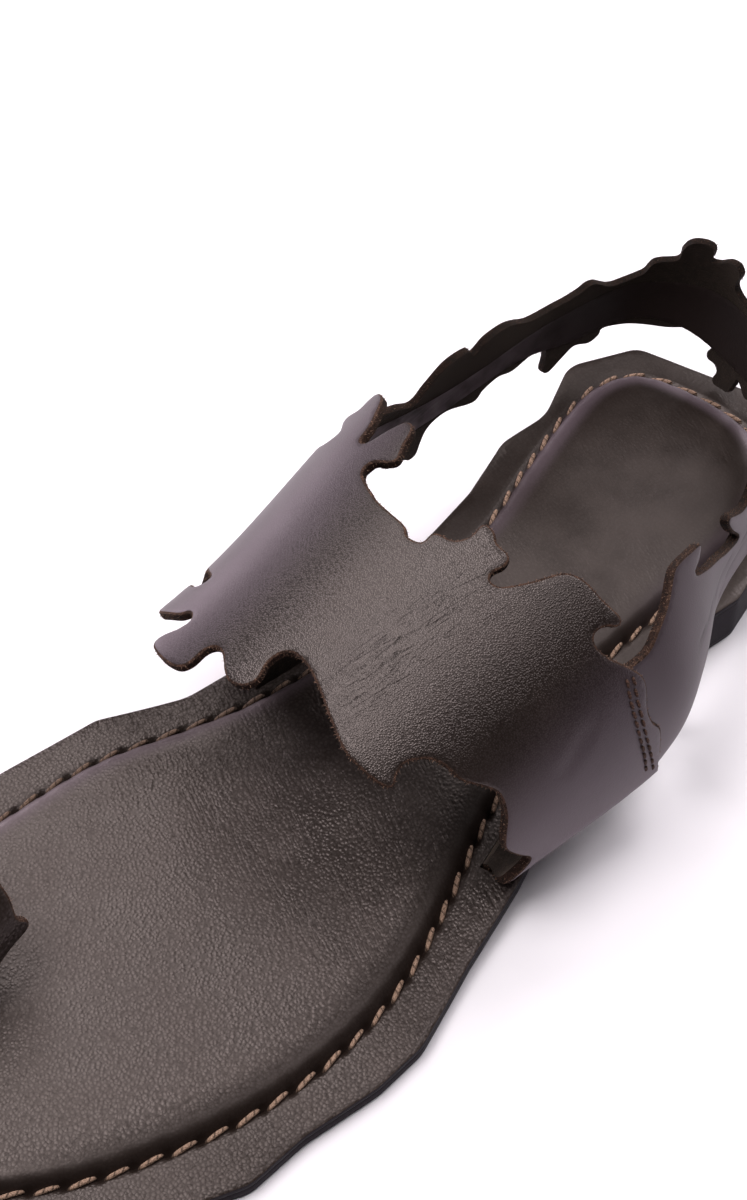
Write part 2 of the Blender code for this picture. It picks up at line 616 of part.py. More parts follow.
def main():
    for old in list(bpy.data.objects):
        bpy.data.objects.remove(old)
    bpy.context.scene.unit_settings.scale_length = 1.0
    brown = (0.052, 0.036, 0.029)
    strapLeather = leather("strapLeather", brown, 0.46)
    loopLeather = leather("loopLeather", brown, 0.46)
    bedLeather = leather("bedLeather", (0.058, 0.044, 0.035), 0.5)
    black = leather("blackSole", (0.028, 0.026, 0.03), 0.42)

    cut = roundedOutline(CUT_EDGE, EDGE_STEP)
    seam = closedSpline(SEAM, SEAM_STEP)
    makeOutsole(black, cut)
    footbed = makeFootbed(bedLeather, cut, seam)

    instep = Arch(INSTEP_ROWS, marginTop, marginTop)
    tab = CLEAR + MARGIN_THICK
    depths = (tab, tab)
    ring = instep.pattern(INSTEP_FRONT, INSTEP_REAR, depths)
    bends = instep.bends(INSTEP_FRONT, INSTEP_REAR, depths)
    free = instep.free(ring, bends, STRAP_STEP)
    upper = strap("upper", strapLeather, ring, free, instep.face)

    band = Band(instep)
    ring = spline(HEEL_TOP, RIM_STEP)
    under = spline(HEEL_BOTTOM, RIM_STEP)
    ends = (
        resample([ring[-1], under[0]], STRAP_STEP)[1:-1],
        resample([under[-1], ring[0]], STRAP_STEP)[1:-1],
    )
    ring = ring + ends[0] + under + ends[1]
    heel = helper(
        strap("heelBand", strapLeather, ring, grid([ring], STRAP_STEP), band.face)
    )
    boolean(upper, heel, "UNION")

    def padTop(x):
        return marginTop(x) + PAD_RISE

    toe = Arch(TOE_ROWS, marginTop, padTop)
    depths = (tab, tab + PAD_RISE)
    ring = toe.pattern(TOE_FRONT, TOE_REAR, depths)
    bends = toe.bends(TOE_FRONT, TOE_REAR, depths)
    free = toe.free(ring, bends, LOOP_STEP)
    strap("toe_loop", loopLeather, ring, free, toe.face)

    def below(x):
        return marginTop(x) - 6.0

    def above(x):
        return marginTop(x) + 9.0

    for name, arch, front, rear, outer in (
        ("instepSlotInner", instep, INSTEP_FRONT[0][1], INSTEP_REAR[-1][1], False),
        ("instepSlotOuter", instep, INSTEP_FRONT[-1][1], INSTEP_REAR[0][1], True),
        ("toeSlotInner", toe, TOE_FRONT[0][1], TOE_REAR[-1][1], False),
        ("toeSlotOuter", toe, TOE_FRONT[-1][1], TOE_REAR[0][1], True),
    ):
        boolean(footbed, slotCutter(name, arch, front, rear, outer, above, below), "DIFFERENCE")


main()
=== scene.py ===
# Looks of a left split-toe sandal of brown leather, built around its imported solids.
# Sizes below are in millimetres in the solids' frame: +X to the toe, +Y to the outer side, +Z up.

import math

import bmesh
import bpy
import numpy as np
from mathutils import Matrix, Vector
from mathutils.geometry import delaunay_2d_cdt


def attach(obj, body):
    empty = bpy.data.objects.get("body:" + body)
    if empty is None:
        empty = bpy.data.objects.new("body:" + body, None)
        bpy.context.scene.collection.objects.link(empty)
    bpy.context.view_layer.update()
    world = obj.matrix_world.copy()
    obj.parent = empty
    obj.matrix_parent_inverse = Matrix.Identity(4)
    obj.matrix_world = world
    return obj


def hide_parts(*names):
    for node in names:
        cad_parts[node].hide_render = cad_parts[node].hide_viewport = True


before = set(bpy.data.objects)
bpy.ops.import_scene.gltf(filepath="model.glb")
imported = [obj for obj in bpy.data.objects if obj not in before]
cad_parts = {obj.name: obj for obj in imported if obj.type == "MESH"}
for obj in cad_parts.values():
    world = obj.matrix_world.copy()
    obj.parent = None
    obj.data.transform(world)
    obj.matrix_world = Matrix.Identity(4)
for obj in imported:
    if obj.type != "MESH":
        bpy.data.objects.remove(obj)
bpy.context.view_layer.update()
mm = 0.001

# The solids' own sizes, used by every piece here
sole = {
    "gap": 0.3,              # between pieces that meet
    "outsoleThick": 2.2,     # at the ball
    "marginThick": 1.3,      # leather margin of the footbed
    "padRise": 2.6,          # padded centre above the margin
    "padRoll": 7.0,          # width of the pad's rolled edge
    "heelRise": 8.0,         # heel seat above the ball
    "heelFront": -46.0,      # the heel seat starts to fall towards the ball
    "ballBack": 26.0,        # and the fall ends
    "breastFoot": -52.0,     # front face of the heel, at the floor
    "breastRun": 5.0,        # length over which it curves up into the arch
    "springStart": 80.0,     # the toe spring starts
    "springRise": 5.0,       # and lifts the tip by this much
    "springRun": 46.0,
    "mostRounding": 0.42,    # share of a straight cut that a rounded corner may take
}
leatherCut = {
    "thick": 1.8,            # of the straps
    "bevel": 0.36,           # the grain side ends this far inside the cut edge
    "lapDepth": 1.86,        # the heel strap lies this far under the instep strap's face
    "bend": 0.8,             # radius where a strap comes out of its slot
    "clear": 0.5,            # height of that bend above the footbed
    "crest": 2.3,            # roundness of an arch above its bulges, 2 being an ellipse
    "shareMm": 1.6,          # flat patterns hold 1.6 mm for one percent of an arch's girth
}

# The padded centre's seam, anticlockwise from the heel: x, y
seamRows = (
    (-117.5, -3.0), (-116.0, -15.5), (-112.0, -23.0), (-104.0, -26.3), (-94.0, -25.6),
    (-77.0, -21.8), (-60.0, -17.5), (-40.0, -15.8), (-20.0, -17.6), (0.0, -23.4),
    (12.0, -28.8), (28.0, -35.8), (46.0, -38.8), (64.0, -40.3), (82.0, -40.2),
    (98.0, -37.6), (110.0, -31.5), (117.0, -22.0), (117.6, -11.0), (113.0, 0.0),
    (105.0, 9.5), (96.5, 17.0), (87.0, 23.8), (77.0, 29.0), (66.5, 33.4),
    (55.8, 36.5), (44.0, 38.2), (32.0, 38.2), (20.4, 36.3), (8.7, 32.9),
    (-2.1, 29.2), (-12.7, 25.9), (-28.0, 22.6), (-45.0, 21.1), (-62.0, 21.3),
    (-80.0, 22.0), (-96.0, 21.0), (-108.0, 16.4), (-115.4, 7.5),
)
# The hand-cut edge of the sole, anticlockwise from the heel: corner x, y, rounding
edgeRows = (
    (-125.9, -2.0, 7.0), (-119.8, -27.2, 5.0), (-105.4, -34.4, 7.0), (-91.0, -28.6, 12.0),
    (-79.0, -30.0, 9.0), (-64.0, -25.7, 12.0), (-46.0, -23.4, 12.0), (-28.0, -25.2, 12.0),
    (-12.0, -28.6, 12.0), (7.5, -33.9, 12.0), (22.4, -43.2, 6.0), (43.0, -47.1, 12.0),
    (62.0, -48.0, 12.0), (80.0, -47.4, 12.0), (97.0, -46.8, 10.0), (113.0, -40.4, 8.0),
    (124.2, -27.5, 8.0), (126.2, -9.5, 8.0), (119.0, 7.5, 9.0), (106.0, 20.4, 9.0),
    (92.6, 32.4, 9.0), (68.0, 43.9, 8.0), (56.0, 44.4, 12.0), (41.0, 47.3, 10.0),
    (30.5, 47.5, 10.0), (13.0, 42.8, 9.0), (-4.0, 39.3, 12.0), (-26.0, 32.8, 12.0),
    (-44.0, 30.0, 12.0), (-62.0, 27.4, 12.0), (-79.5, 30.2, 5.0), (-92.0, 27.6, 12.0),
    (-104.5, 28.6, 7.0), (-116.0, 20.4, 8.0),
)
# Cross-sections of an arched strap's outer face: x, inner slot y, inner bulge y, inner
# bulge z, crown y, crown z, outer bulge y, outer bulge z, outer slot y
instepRows = (
    (-60.0, -21.0, -44.0, 25.0, 3.0, 64.0, 45.0, 19.0, 24.5),
    (-25.0, -22.0, -40.0, 24.0, 3.0, 57.0, 45.5, 18.0, 29.5),
    (0.0, -27.6, -38.0, 23.0, 3.0, 49.3, 41.0, 17.3, 34.6),
    (22.0, -36.0, -40.2, 22.5, 3.0, 41.5, 35.0, 16.5, 38.0),
)
toeRows = (
    (55.0, -43.6, -46.0, 14.0, -28.5, 32.0, -10.0, 13.0, -15.5),
    (75.0, -44.2, -46.2, 14.0, -28.5, 30.0, -9.5, 12.5, -15.0),
    (95.0, -43.2, -45.0, 13.5, -28.0, 27.0, -9.5, 12.0, -14.5),
)
# Leaf-cut edges: share of the girth in percent, inner slot to outer slot, then x
instepFront = (
    (0.0, -3.0), (6.0, -3.0), (13.0, 0.0), (18.5, -1.5), (22.4, -1.0), (26.0, 1.2),
    (28.0, 2.8), (26.4, 4.8), (23.0, 3.4), (20.6, 4.0), (19.6, 6.4), (20.6, 9.2),
    (24.0, 11.6), (28.8, 12.0), (30.8, 10.8), (32.1, 12.0), (31.7, 14.2), (30.2, 16.8),
    (30.2, 18.8), (31.8, 20.0), (34.4, 20.8), (36.9, 20.6), (37.9, 18.8), (38.0, 15.9),
    (39.0, 14.4), (40.5, 14.7), (42.6, 16.8), (44.4, 17.9), (46.5, 17.2), (47.2, 15.0),
    (46.5, 11.8), (46.9, 9.2), (48.2, 8.2), (50.6, 8.5), (53.9, 10.2), (58.6, 13.2),
    (62.3, 15.1), (65.3, 15.4), (68.4, 14.9), (69.9, 13.6), (69.0, 12.0), (68.3, 9.8),
    (68.9, 7.6), (69.8, 6.0), (71.4, 5.0), (73.8, 4.2), (75.8, 1.7), (77.6, 0.0),
    (80.6, 0.3), (83.5, 1.6), (85.8, 1.8), (88.2, -0.6), (90.2, -3.2), (92.2, -2.2),
    (94.4, -0.3), (97.2, -0.6), (100.0, -2.4),
)
instepRear = (
    (100.0, -36.0), (94.0, -35.4), (87.6, -33.1), (82.3, -33.2), (80.5, -31.6),
    (78.4, -31.0), (75.3, -32.2), (73.2, -30.6), (71.0, -28.0), (69.2, -27.0),
    (68.1, -28.0), (68.2, -30.4), (69.0, -32.2), (68.5, -33.6), (66.0, -32.8),
    (63.4, -32.4), (61.6, -30.7), (60.2, -25.8), (58.6, -21.6), (57.3, -21.0),
    (56.8, -22.4), (57.2, -24.4), (56.7, -26.4), (54.9, -26.7), (53.8, -28.0),
    (52.4, -28.0), (52.3, -25.0), (51.4, -22.7), (49.2, -21.8), (48.9, -19.2),
    (47.2, -18.7), (46.0, -20.0), (42.0, -21.1), (39.6, -22.6), (37.6, -24.4),
    (37.0, -26.0), (37.5, -27.8), (39.3, -28.8), (39.8, -30.2), (39.2, -33.0),
    (38.9, -35.8), (38.3, -37.4), (37.2, -37.4), (35.9, -34.6), (34.9, -31.7),
    (34.1, -30.9), (33.4, -31.7), (33.2, -35.0), (32.4, -38.8), (31.5, -42.0),
    (30.4, -43.6), (29.2, -44.2), (28.5, -42.4), (28.2, -40.2), (26.3, -39.5),
    (26.3, -37.8), (27.7, -35.1), (28.2, -33.6), (26.6, -31.9), (23.6, -32.8),
    (21.6, -31.6), (18.6, -34.4), (13.0, -40.0), (6.0, -41.0), (0.0, -41.0),
)
toeFront = (
    (0.0, 90.0), (10.0, 89.5), (20.0, 87.0), (27.0, 88.6), (33.0, 91.0), (38.0, 89.4),
    (45.0, 86.6), (53.0, 88.0), (60.0, 90.6), (66.0, 88.4), (74.0, 87.4), (84.0, 89.6),
    (92.0, 90.6), (100.0, 91.0),
)
toeRear = (
    (100.0, 80.0), (92.0, 78.6), (85.0, 74.4), (82.0, 70.2), (80.8, 66.2), (78.6, 65.4),
    (75.9, 66.8), (70.9, 66.2), (66.9, 66.0), (63.1, 64.7), (58.0, 66.4), (51.0, 68.6),
    (44.0, 65.8), (37.0, 66.4), (30.0, 69.0), (22.0, 67.4), (12.0, 68.2), (0.0, 68.0),
)
# The heel strap: x and y of its outer face at three heights, round the heel. Its ends
# lie under the instep strap, at the x given by the lap rows.
strapHeights = (18.0, 30.0, 42.0)
lapInner = (-24.0, -36.0, -46.0)
lapOuter = (-34.0, -29.0, -24.0)
heelRows = (
    (-60.0, -39.3, -60.0, -39.2, -60.0, -36.5),
    (-78.0, -36.0, -78.0, -36.3, -78.0, -35.0),
    (-98.0, -34.1, -98.0, -34.4, -98.0, -33.5),
    (-115.4, -29.1, -116.0, -29.3, -115.0, -28.4),
    (-123.6, -15.5, -125.2, -16.0, -125.0, -16.0),
    (-121.6, 0.0, -123.4, 0.0, -123.0, 0.0),
    (-114.0, 14.0, -115.2, 14.6, -115.0, 14.0),
    (-99.6, 23.2, -100.0, 23.5, -99.0, 22.5),
    (-83.0, 27.6, -83.0, 27.8, -82.0, 26.3),
    (-67.0, 32.2, -67.0, 32.6, -65.5, 30.8),
    (-53.0, 39.2, -53.0, 39.9, -52.0, 36.2),
    (-43.0, 43.7, -43.0, 43.7, -42.5, 38.8),
)
# Leaf-cut edges of the heel strap: length along its middle line, z
heelTop = (
    (4.0, 40.0), (14.0, 38.0), (24.0, 36.5), (31.0, 34.5), (35.8, 32.4), (38.6, 35.8),
    (42.7, 40.2), (48.0, 40.4), (50.2, 37.9), (53.5, 40.2), (59.1, 40.2), (66.3, 36.7),
    (75.0, 36.0), (79.6, 36.4), (83.3, 37.2), (88.8, 34.0), (95.4, 35.5), (98.0, 38.9),
    (102.8, 39.9), (103.6, 43.0), (105.4, 45.4), (108.6, 46.0), (110.7, 45.2),
    (110.9, 43.2), (110.2, 41.4), (112.2, 41.6), (115.0, 43.7), (117.4, 44.1),
    (118.4, 42.0), (117.4, 38.2), (120.0, 36.0), (127.0, 34.2), (134.0, 35.6),
    (139.0, 39.0), (144.0, 40.0), (148.0, 37.4), (153.0, 35.4), (159.0, 36.0),
    (164.0, 39.0), (169.0, 41.6), (174.0, 41.4), (179.0, 38.0), (183.0, 37.6),
    (186.4, 39.5), (188.9, 41.2), (190.1, 40.4), (189.0, 37.2), (186.0, 32.4),
    (191.4, 34.5), (196.7, 37.8), (203.7, 41.8), (207.6, 44.2), (204.0, 44.6),
    (201.6, 46.2), (206.5, 47.8), (210.6, 48.6), (213.7, 48.5), (219.4, 46.4),
    (224.5, 44.6), (228.9, 42.7), (235.0, 42.4),
)
heelBottom = (
    (235.0, 20.0), (233.0, 17.4), (230.4, 13.0), (226.0, 11.0), (221.6, 12.6),
    (219.0, 16.6), (217.0, 16.2), (215.0, 13.0), (213.0, 8.4), (211.4, 6.8),
    (209.8, 7.6), (208.6, 12.0), (205.0, 15.0),
    (199.0, 19.0), (190.0, 20.8), (182.0, 19.8), (176.0, 17.6), (172.0, 15.0),
    (168.0, 16.8), (163.0, 19.6), (156.0, 20.2), (150.0, 18.4), (147.0, 16.8),
    (143.0, 18.6), (137.0, 19.6), (131.0, 17.6), (127.9, 16.3), (125.5, 17.6),
    (123.9, 18.2), (123.2, 16.0), (122.4, 14.0), (120.4, 13.5), (118.0, 13.2),
    (117.2, 14.2), (117.8, 16.0), (116.6, 17.2), (114.4, 17.4), (113.9, 18.8),
    (114.8, 20.6), (113.6, 22.1), (108.7, 22.5), (102.4, 21.1), (92.5, 21.8),
    (87.4, 22.3), (86.6, 20.9), (83.9, 19.9), (79.8, 21.2), (76.7, 19.8),
    (73.0, 17.8), (71.2, 18.8), (71.9, 21.8), (71.8, 24.6), (70.6, 26.3),
    (65.9, 25.6), (61.9, 25.0), (57.9, 26.0), (54.1, 24.9), (51.7, 23.0),
    (45.6, 24.4), (42.1, 23.7), (39.8, 21.9), (38.4, 19.4), (36.9, 16.9),
    (34.6, 16.7), (32.8, 17.9), (29.7, 18.8), (27.4, 19.5), (26.0, 21.4),
    (20.0, 21.7), (12.0, 21.6), (4.0, 22.0),
)


def ease(share):
    share = np.clip(share, 0.0, 1.0)
    return share * share * (3.0 - 2.0 * share)


def reached(values, start, run):
    # 0 up to the start and 1 from a run further on, which may be negative
    return ease((values - start) / run)


def rise(x):
    # of the whole sole above its height at the ball
    heel = ease((sole["ballBack"] - x) / (sole["ballBack"] - sole["heelFront"]))
    spring = np.maximum(x - sole["springStart"], 0.0) / sole["springRun"]
    return sole["heelRise"] * heel + sole["springRise"] * spring**2


def marginTop(x):
    return sole["outsoleThick"] + sole["gap"] + sole["marginThick"] + rise(x)


def soleUnder(x):
    breast = reached(x, sole["breastFoot"], sole["breastRun"])
    return rise(x) * np.where(x > 0.0, 1.0, breast)


def evenly(line, step):
    # the same line in equal steps
    runs = np.linalg.norm(np.diff(line, axis=0), axis=1)
    lengths = np.concatenate([[0.0], np.cumsum(runs)])
    wanted = np.linspace(0.0, lengths[-1], max(1, round(lengths[-1] / step)) + 1)
    return np.column_stack([np.interp(wanted, lengths, column) for column in line.T])


def between(before, start, end, after, share):
    bend = (2 * before - 5 * start + 4 * end - after) * share**2
    twist = (3 * start - before - 3 * end + after) * share**3
    return start + 0.5 * ((end - before) * share + bend + twist)


def throughRows(rows, step, closed=False):
    # a smooth line through a table's rows
    rows = np.array(rows, float)
    if closed:
        rows = np.vstack([rows[-1:], rows, rows[:2]])
    else:
        rows = np.vstack([2 * rows[0] - rows[1], rows, 2 * rows[-1] - rows[-2]])
    share = np.linspace(0.0, 1.0, 16, endpoint=False)[:, None]
    fine = [between(*rows[i : i + 4], share) for i in range(len(rows) - 3)]
    line = evenly(np.vstack(fine + [rows[-2:-1]]), step)
    return line[:-1] if closed else line


def throughFew(at, places, values):
    # the curve through a few rows of values, read anywhere
    total = 0.0
    for number, (place, value) in enumerate(zip(places, values)):
        others = np.delete(places, number)
        share = np.prod([(at - other) / (place - other) for other in others], axis=0)
        total = total + share[..., None] * value
    return total


def quarterOval(start, end, count, power=1.0):
    # it leaves its start along the second axis and meets its end along the first
    turn = np.linspace(0.0, math.pi / 2, count)
    first = end[0] + (start[0] - end[0]) * np.clip(np.cos(turn), 0.0, 1.0) ** power
    second = start[1] + (end[1] - start[1]) * np.sin(turn) ** power
    return np.column_stack([first, second])


def closedRing(first, second):
    # one ring of two edges, with straight joins between their ends
    edges = (first, second)
    joins = [evenly(np.array([a[-1], b[0]]), 0.9)[1:-1] for a, b in (edges, edges[::-1])]
    return np.vstack([first, joins[0], second, joins[1]])


def cutOutline(corners, step):
    # straight knife cuts with rounded corners
    line = []
    for number, (x, y, rounding) in enumerate(corners):
        here = Vector((x, y))
        back = Vector(corners[number - 1][:2]) - here
        ahead = Vector(corners[(number + 1) % len(corners)][:2]) - here
        reach = rounding * math.tan((math.pi - back.angle(ahead)) / 2)
        reach = min(reach, sole["mostRounding"] * min(back.length, ahead.length))
        start, end = here + back.normalized() * reach, here + ahead.normalized() * reach
        for share in np.linspace(0.0, 1.0, 9):
            line.append(start.lerp(here, share).lerp(here.lerp(end, share), share))
    return evenly(np.array(line + line[:1]), step)[:-1]


def inset(ring, depth):
    along = np.roll(ring, -1, axis=0) - np.roll(ring, 1, axis=0)
    along /= np.linalg.norm(along, axis=1)[:, None]
    return ring + np.column_stack([-along[:, 1], along[:, 0]]) * np.reshape(depth, (-1, 1))


def inside(ring, points):
    found = np.zeros(len(points), bool)
    for (x, y), (nextX, nextY) in zip(ring, np.roll(ring, -1, axis=0)):
        crossed = (y > points[:, 1]) != (nextY > points[:, 1])
        if crossed.any():
            slope = (points[:, 1] - y) / (nextY - y)
            found ^= crossed & (points[:, 0] < x + slope * (nextX - x))
    return found


def nearest(ring, points):
    # each point's distance from a ring, and how far round the ring that is
    distance, length, run = np.full(len(points), 1e9), np.zeros(len(points)), 0.0
    for start, end in zip(ring, np.roll(ring, -1, axis=0)):
        size = math.dist(start, end)
        share = np.clip((points - start) @ (end - start) / max(size, 1e-9) ** 2, 0.0, 1.0)
        away = np.linalg.norm(points - start - share[:, None] * (end - start), axis=1)
        closer = away < distance
        distance[closer] = away[closer]
        length[closer] = run + size * share[closer]
        run += size
    return distance, length


def spread(ring, step, clear=0.6):
    # staggered points inside a ring, no nearer to it than a share of their step
    low, high = ring.min(axis=0), ring.max(axis=0)
    found, rowGap = [], 0.87 * step
    for number, y in enumerate(np.arange(low[1], high[1], rowGap)):
        xs = np.arange(low[0] + step * (number % 2) / 2, high[0], step)
        found.append(np.column_stack([xs, np.full(len(xs), y)]))
    found = np.vstack(found)
    found = found[inside(ring, found)]
    return found[nearest(ring, found)[0] > clear * step]


def fill(rings, free):
    # triangles inside the first ring that use every ring's edges and every free point
    flat = np.vstack(list(rings) + [free])
    edges, first = [], 0
    for ring in rings:
        numbers = np.arange(len(ring))
        edges += list(zip(first + numbers, first + np.roll(numbers, -1)))
        first += len(ring)
    points = [Vector(point) for point in flat]
    edges = [(int(a), int(b)) for a, b in edges]
    _, _, faces, origins, _, _ = delaunay_2d_cdt(points, edges, [], 1, 1e-6)
    return np.array([[origins[corner][0] for corner in face] for face in faces])


def wander(points, size, seed):
    # smooth uneven values from -1 to 1, a few waves in crossing directions
    random = np.random.default_rng(seed)
    total = np.zeros(len(points))
    waves, calm = 9, 3.6
    for _ in range(waves):
        direction = random.normal(size=points.shape[1])
        direction /= np.linalg.norm(direction)
        turn = 2 * math.pi / (size * random.uniform(0.7, 1.6))
        total += np.sin(points @ direction * turn + random.uniform(0.0, 2 * math.pi))
    return total / calm


class Surface:
    # a strap's outer face, laid out from a flat pattern

    def face(self, flat):
        steps = np.array([self.reach, 0.0]), np.array([0.0, 0.4])
        along, across = (self.place(flat + step) - self.place(flat - step) for step in steps)
        return self.place(flat), unit(np.cross(along, across)) * self.hand


class Arch(Surface):
    # an arched strap; its pattern holds x and width, in millimetres
    hand, reach = 1.0, 0.5

    def __init__(self, rows, innerBase, outerBase):
        self.rows = np.array(rows)
        self.bases = (innerBase, outerBase)
        self.step, self.parts = 0.5, 480      # along the strap, and round one section
        self.table = {}

    def section(self, x):
        values = throughFew(x, self.rows[:, 0], self.rows[:, 1:])
        inSlot, inY, inZ, crownY, crownZ, outY, outZ, outSlot = values
        sides = []
        inner, outer = (inSlot, inY, inZ), (outSlot, outY, outZ)
        for (slot, y, z), base in zip((inner, outer), self.bases):
            foot, bend = float(base(x)) + leatherCut["clear"], leatherCut["bend"]
            bent = slot + math.copysign(bend, y - slot), foot + bend
            outOfSlot = quarterOval((slot, foot), bent, 9)
            toBulge = quarterOval(bent[::-1], (z, y), 60)[:, ::-1]
            toCrown = quarterOval((y, z), (crownY, crownZ), 160, 2 / leatherCut["crest"])
            sides.append(np.vstack([outOfSlot, toBulge[1:], toCrown[1:]]))
        return np.vstack([sides[0], sides[1][-2::-1]])

    def place(self, flat):
        x, width = flat[:, 0], flat[:, 1]
        share = width / leatherCut["shareMm"] / 100.0
        station = np.floor(x / self.step).astype(int)
        known = sorted(set(station) | set(station + 1))
        for number in known:
            if number not in self.table:
                line = self.section(number * self.step)
                size = np.linalg.norm(np.diff(line, axis=0), axis=1).sum()
                self.table[number] = evenly(line, size / self.parts)[: self.parts + 1]
        rows = {number: index for index, number in enumerate(known)}
        grid = np.array([self.table[number] for number in known])
        near = np.array([rows[number] for number in station])
        part = np.clip(share, 0.0, 1.0) * self.parts
        column = np.minimum(part.astype(int), self.parts - 1)
        across, along = (part - column)[:, None], (x / self.step - station)[:, None]
        start, end = (
            grid[row, column] * (1 - across) + grid[row, column + 1] * across
            for row in (near, near + 1)
        )
        section = start * (1 - along) + end * along
        # past its slots the strap goes straight down
        over = np.maximum(-share, 0.0) + np.maximum(share - 1.0, 0.0)
        section[:, 1] -= over * 100.0 * leatherCut["shareMm"]
        return np.column_stack([x, section])

    def side(self, x, z, outer):
        line = self.section(x)
        top = int(line[:, 1].argmax())
        half = line[top:][::-1] if outer else line[: top + 1]
        return float(np.interp(z, half[:, 1], half[:, 0]))

    def pattern(self, front, rear, below):
        # the strap's flat outline, with tabs that reach down into its slots
        edges = []
        for table, order in ((front, (0, 1)), (rear, (1, 0))):
            line = throughRows([(x, share * leatherCut["shareMm"]) for share, x in table], 0.7)
            first, last = line[0].copy(), line[-1].copy()
            for end, side in zip((first, last), order):
                end[1] += below[1] if side else -below[0]
            edges.append(evenly(np.vstack([first, line, last]), 0.7))
        return closedRing(*edges)


class Band(Surface):
    # the heel strap; its pattern holds length along it and z, seen from its inner side
    hand, reach = -1.0, 0.6

    def __init__(self, instep):
        rows = [self.lap(instep, x, False) for x in lapInner]
        rows += [np.reshape(row, (3, 2)) for row in heelRows]
        rows += [self.lap(instep, x, True) for x in lapOuter]
        rows = [2 * rows[0] - rows[1], *rows, 2 * rows[-1] - rows[-2]]
        self.rows = np.array(rows)
        self.stations = np.arange(8 * (len(rows) - 3) + 1) / 8.0
        line = self.at(self.stations)[:, 1]
        runs = np.linalg.norm(np.diff(line, axis=0), axis=1)
        self.lengths = np.concatenate([[0.0], np.cumsum(runs)])

    def lap(self, instep, x, outer):
        depth = -leatherCut["lapDepth"] if outer else leatherCut["lapDepth"]
        return np.array([(x, instep.side(x, z, outer) + depth) for z in strapHeights])

    def at(self, station):
        first = np.clip(station.astype(int), 0, len(self.rows) - 4)
        share = (station - first)[:, None, None]
        return between(*(self.rows[first + i] for i in range(4)), share)

    def place(self, flat):
        length, z = flat[:, 0], flat[:, 1]
        station = np.interp(length, self.lengths, self.stations)
        heights = np.moveaxis(self.at(station), 1, 0)
        return np.column_stack([throughFew(z, strapHeights, heights), z])


def unit(vectors):
    return vectors / np.linalg.norm(vectors, axis=1)[:, None]


def bell(values, width):
    return np.exp(-((values / width) ** 2))


def creases(flat, rows):
    # troughs with low ridges beside them: start, end, depth, half width
    total = np.zeros(len(flat))
    for startX, startY, endX, endY, depth, half in rows:
        start, end = np.array([startX, startY]), np.array([endX, endY])
        share = (flat - start) @ (end - start) / ((end - start) @ (end - start))
        away = np.linalg.norm(flat - start - share[:, None] * (end - start), axis=1) / half
        taper = ease(share / 0.25) * ease((1 - share) / 0.25)
        total -= depth * taper * (1 - 0.9 * away**2) * bell(away, 1.0)
    return total


def addObject(name, data):
    made = bpy.data.objects.new(name, data)
    bpy.context.scene.collection.objects.link(made)
    return made


def makePiece(name, points, faces, finishes, faceFinish=None, pattern=None, marks=None):
    mesh = bpy.data.meshes.new(name)
    mesh.from_pydata((points * mm).tolist(), [], [list(map(int, face)) for face in faces])
    for finish in finishes:
        mesh.materials.append(finish)
    if faceFinish is not None:
        mesh.polygons.foreach_set("material_index", np.array(faceFinish, np.int32))
    corners = np.zeros(len(mesh.loops), np.int32)
    mesh.loops.foreach_get("vertex_index", corners)
    if pattern is not None:
        layer = mesh.uv_layers.new(name="pattern")
        layer.uv.foreach_set("vector", (pattern[corners] * mm).astype(np.float32).ravel())
    for mark, values in (marks or {}).items():
        attribute = mesh.attributes.new(mark, "FLOAT", "POINT")
        attribute.data.foreach_set("value", np.concatenate(values).astype(np.float32))
    shape = bmesh.new()
    shape.from_mesh(mesh)
    bmesh.ops.recalc_face_normals(shape, faces=shape.faces)
    shape.to_mesh(mesh)
    shape.free()
    mesh.shade_smooth()
    mesh.set_sharp_from_angle(angle=math.radians(42))
    return addObject(name, mesh)


def walls(first, second, size):
    # faces between two rings of points, by their first numbers
    numbers = np.arange(size)
    after = np.roll(numbers, -1)
    return np.column_stack([first + numbers, first + after, second + after, second + numbers])


def slab(top, topFaces, rings, under, underFaces, holes=()):
    # two sheets that start with the points of their edges, joined by rings down the side
    # and straight through the holes: points, faces and each face's finish
    count = len(rings[0])
    firsts = [0, *range(len(top), len(top) + count * len(rings) + 1, count)]
    sides = [walls(a, b, count) for a, b in zip(firsts, firsts[1:])]
    for topFirst, underFirst, size in holes:
        sides.append(walls(topFirst, firsts[-1] + underFirst, size))
    sides = np.vstack(sides)
    faces = [*topFaces, *(firsts[-1] + underFaces[:, ::-1]), *sides]
    finish = [0] * len(topFaces) + [1] * len(underFaces) + [2] * len(sides)
    return np.vstack([top, *rings, under]), faces, finish


edgePiece = {
    # rings down the cut edge: share of the thickness, outward bulge
    "rings": ((0.16, 0.0), (0.5, 0.07), (0.8, 0.03)),
    "rounding": 0.05,
    "rough": ((0.04, 1.5), (0.03, 0.5)),      # height and size of its uneven places
    # loose fibres: how many for each point of the edge, length, half width
    "fibres": 1.8, "fibreLength": (0.25, 0.85), "fibreWidth": (0.045, 0.085),
}


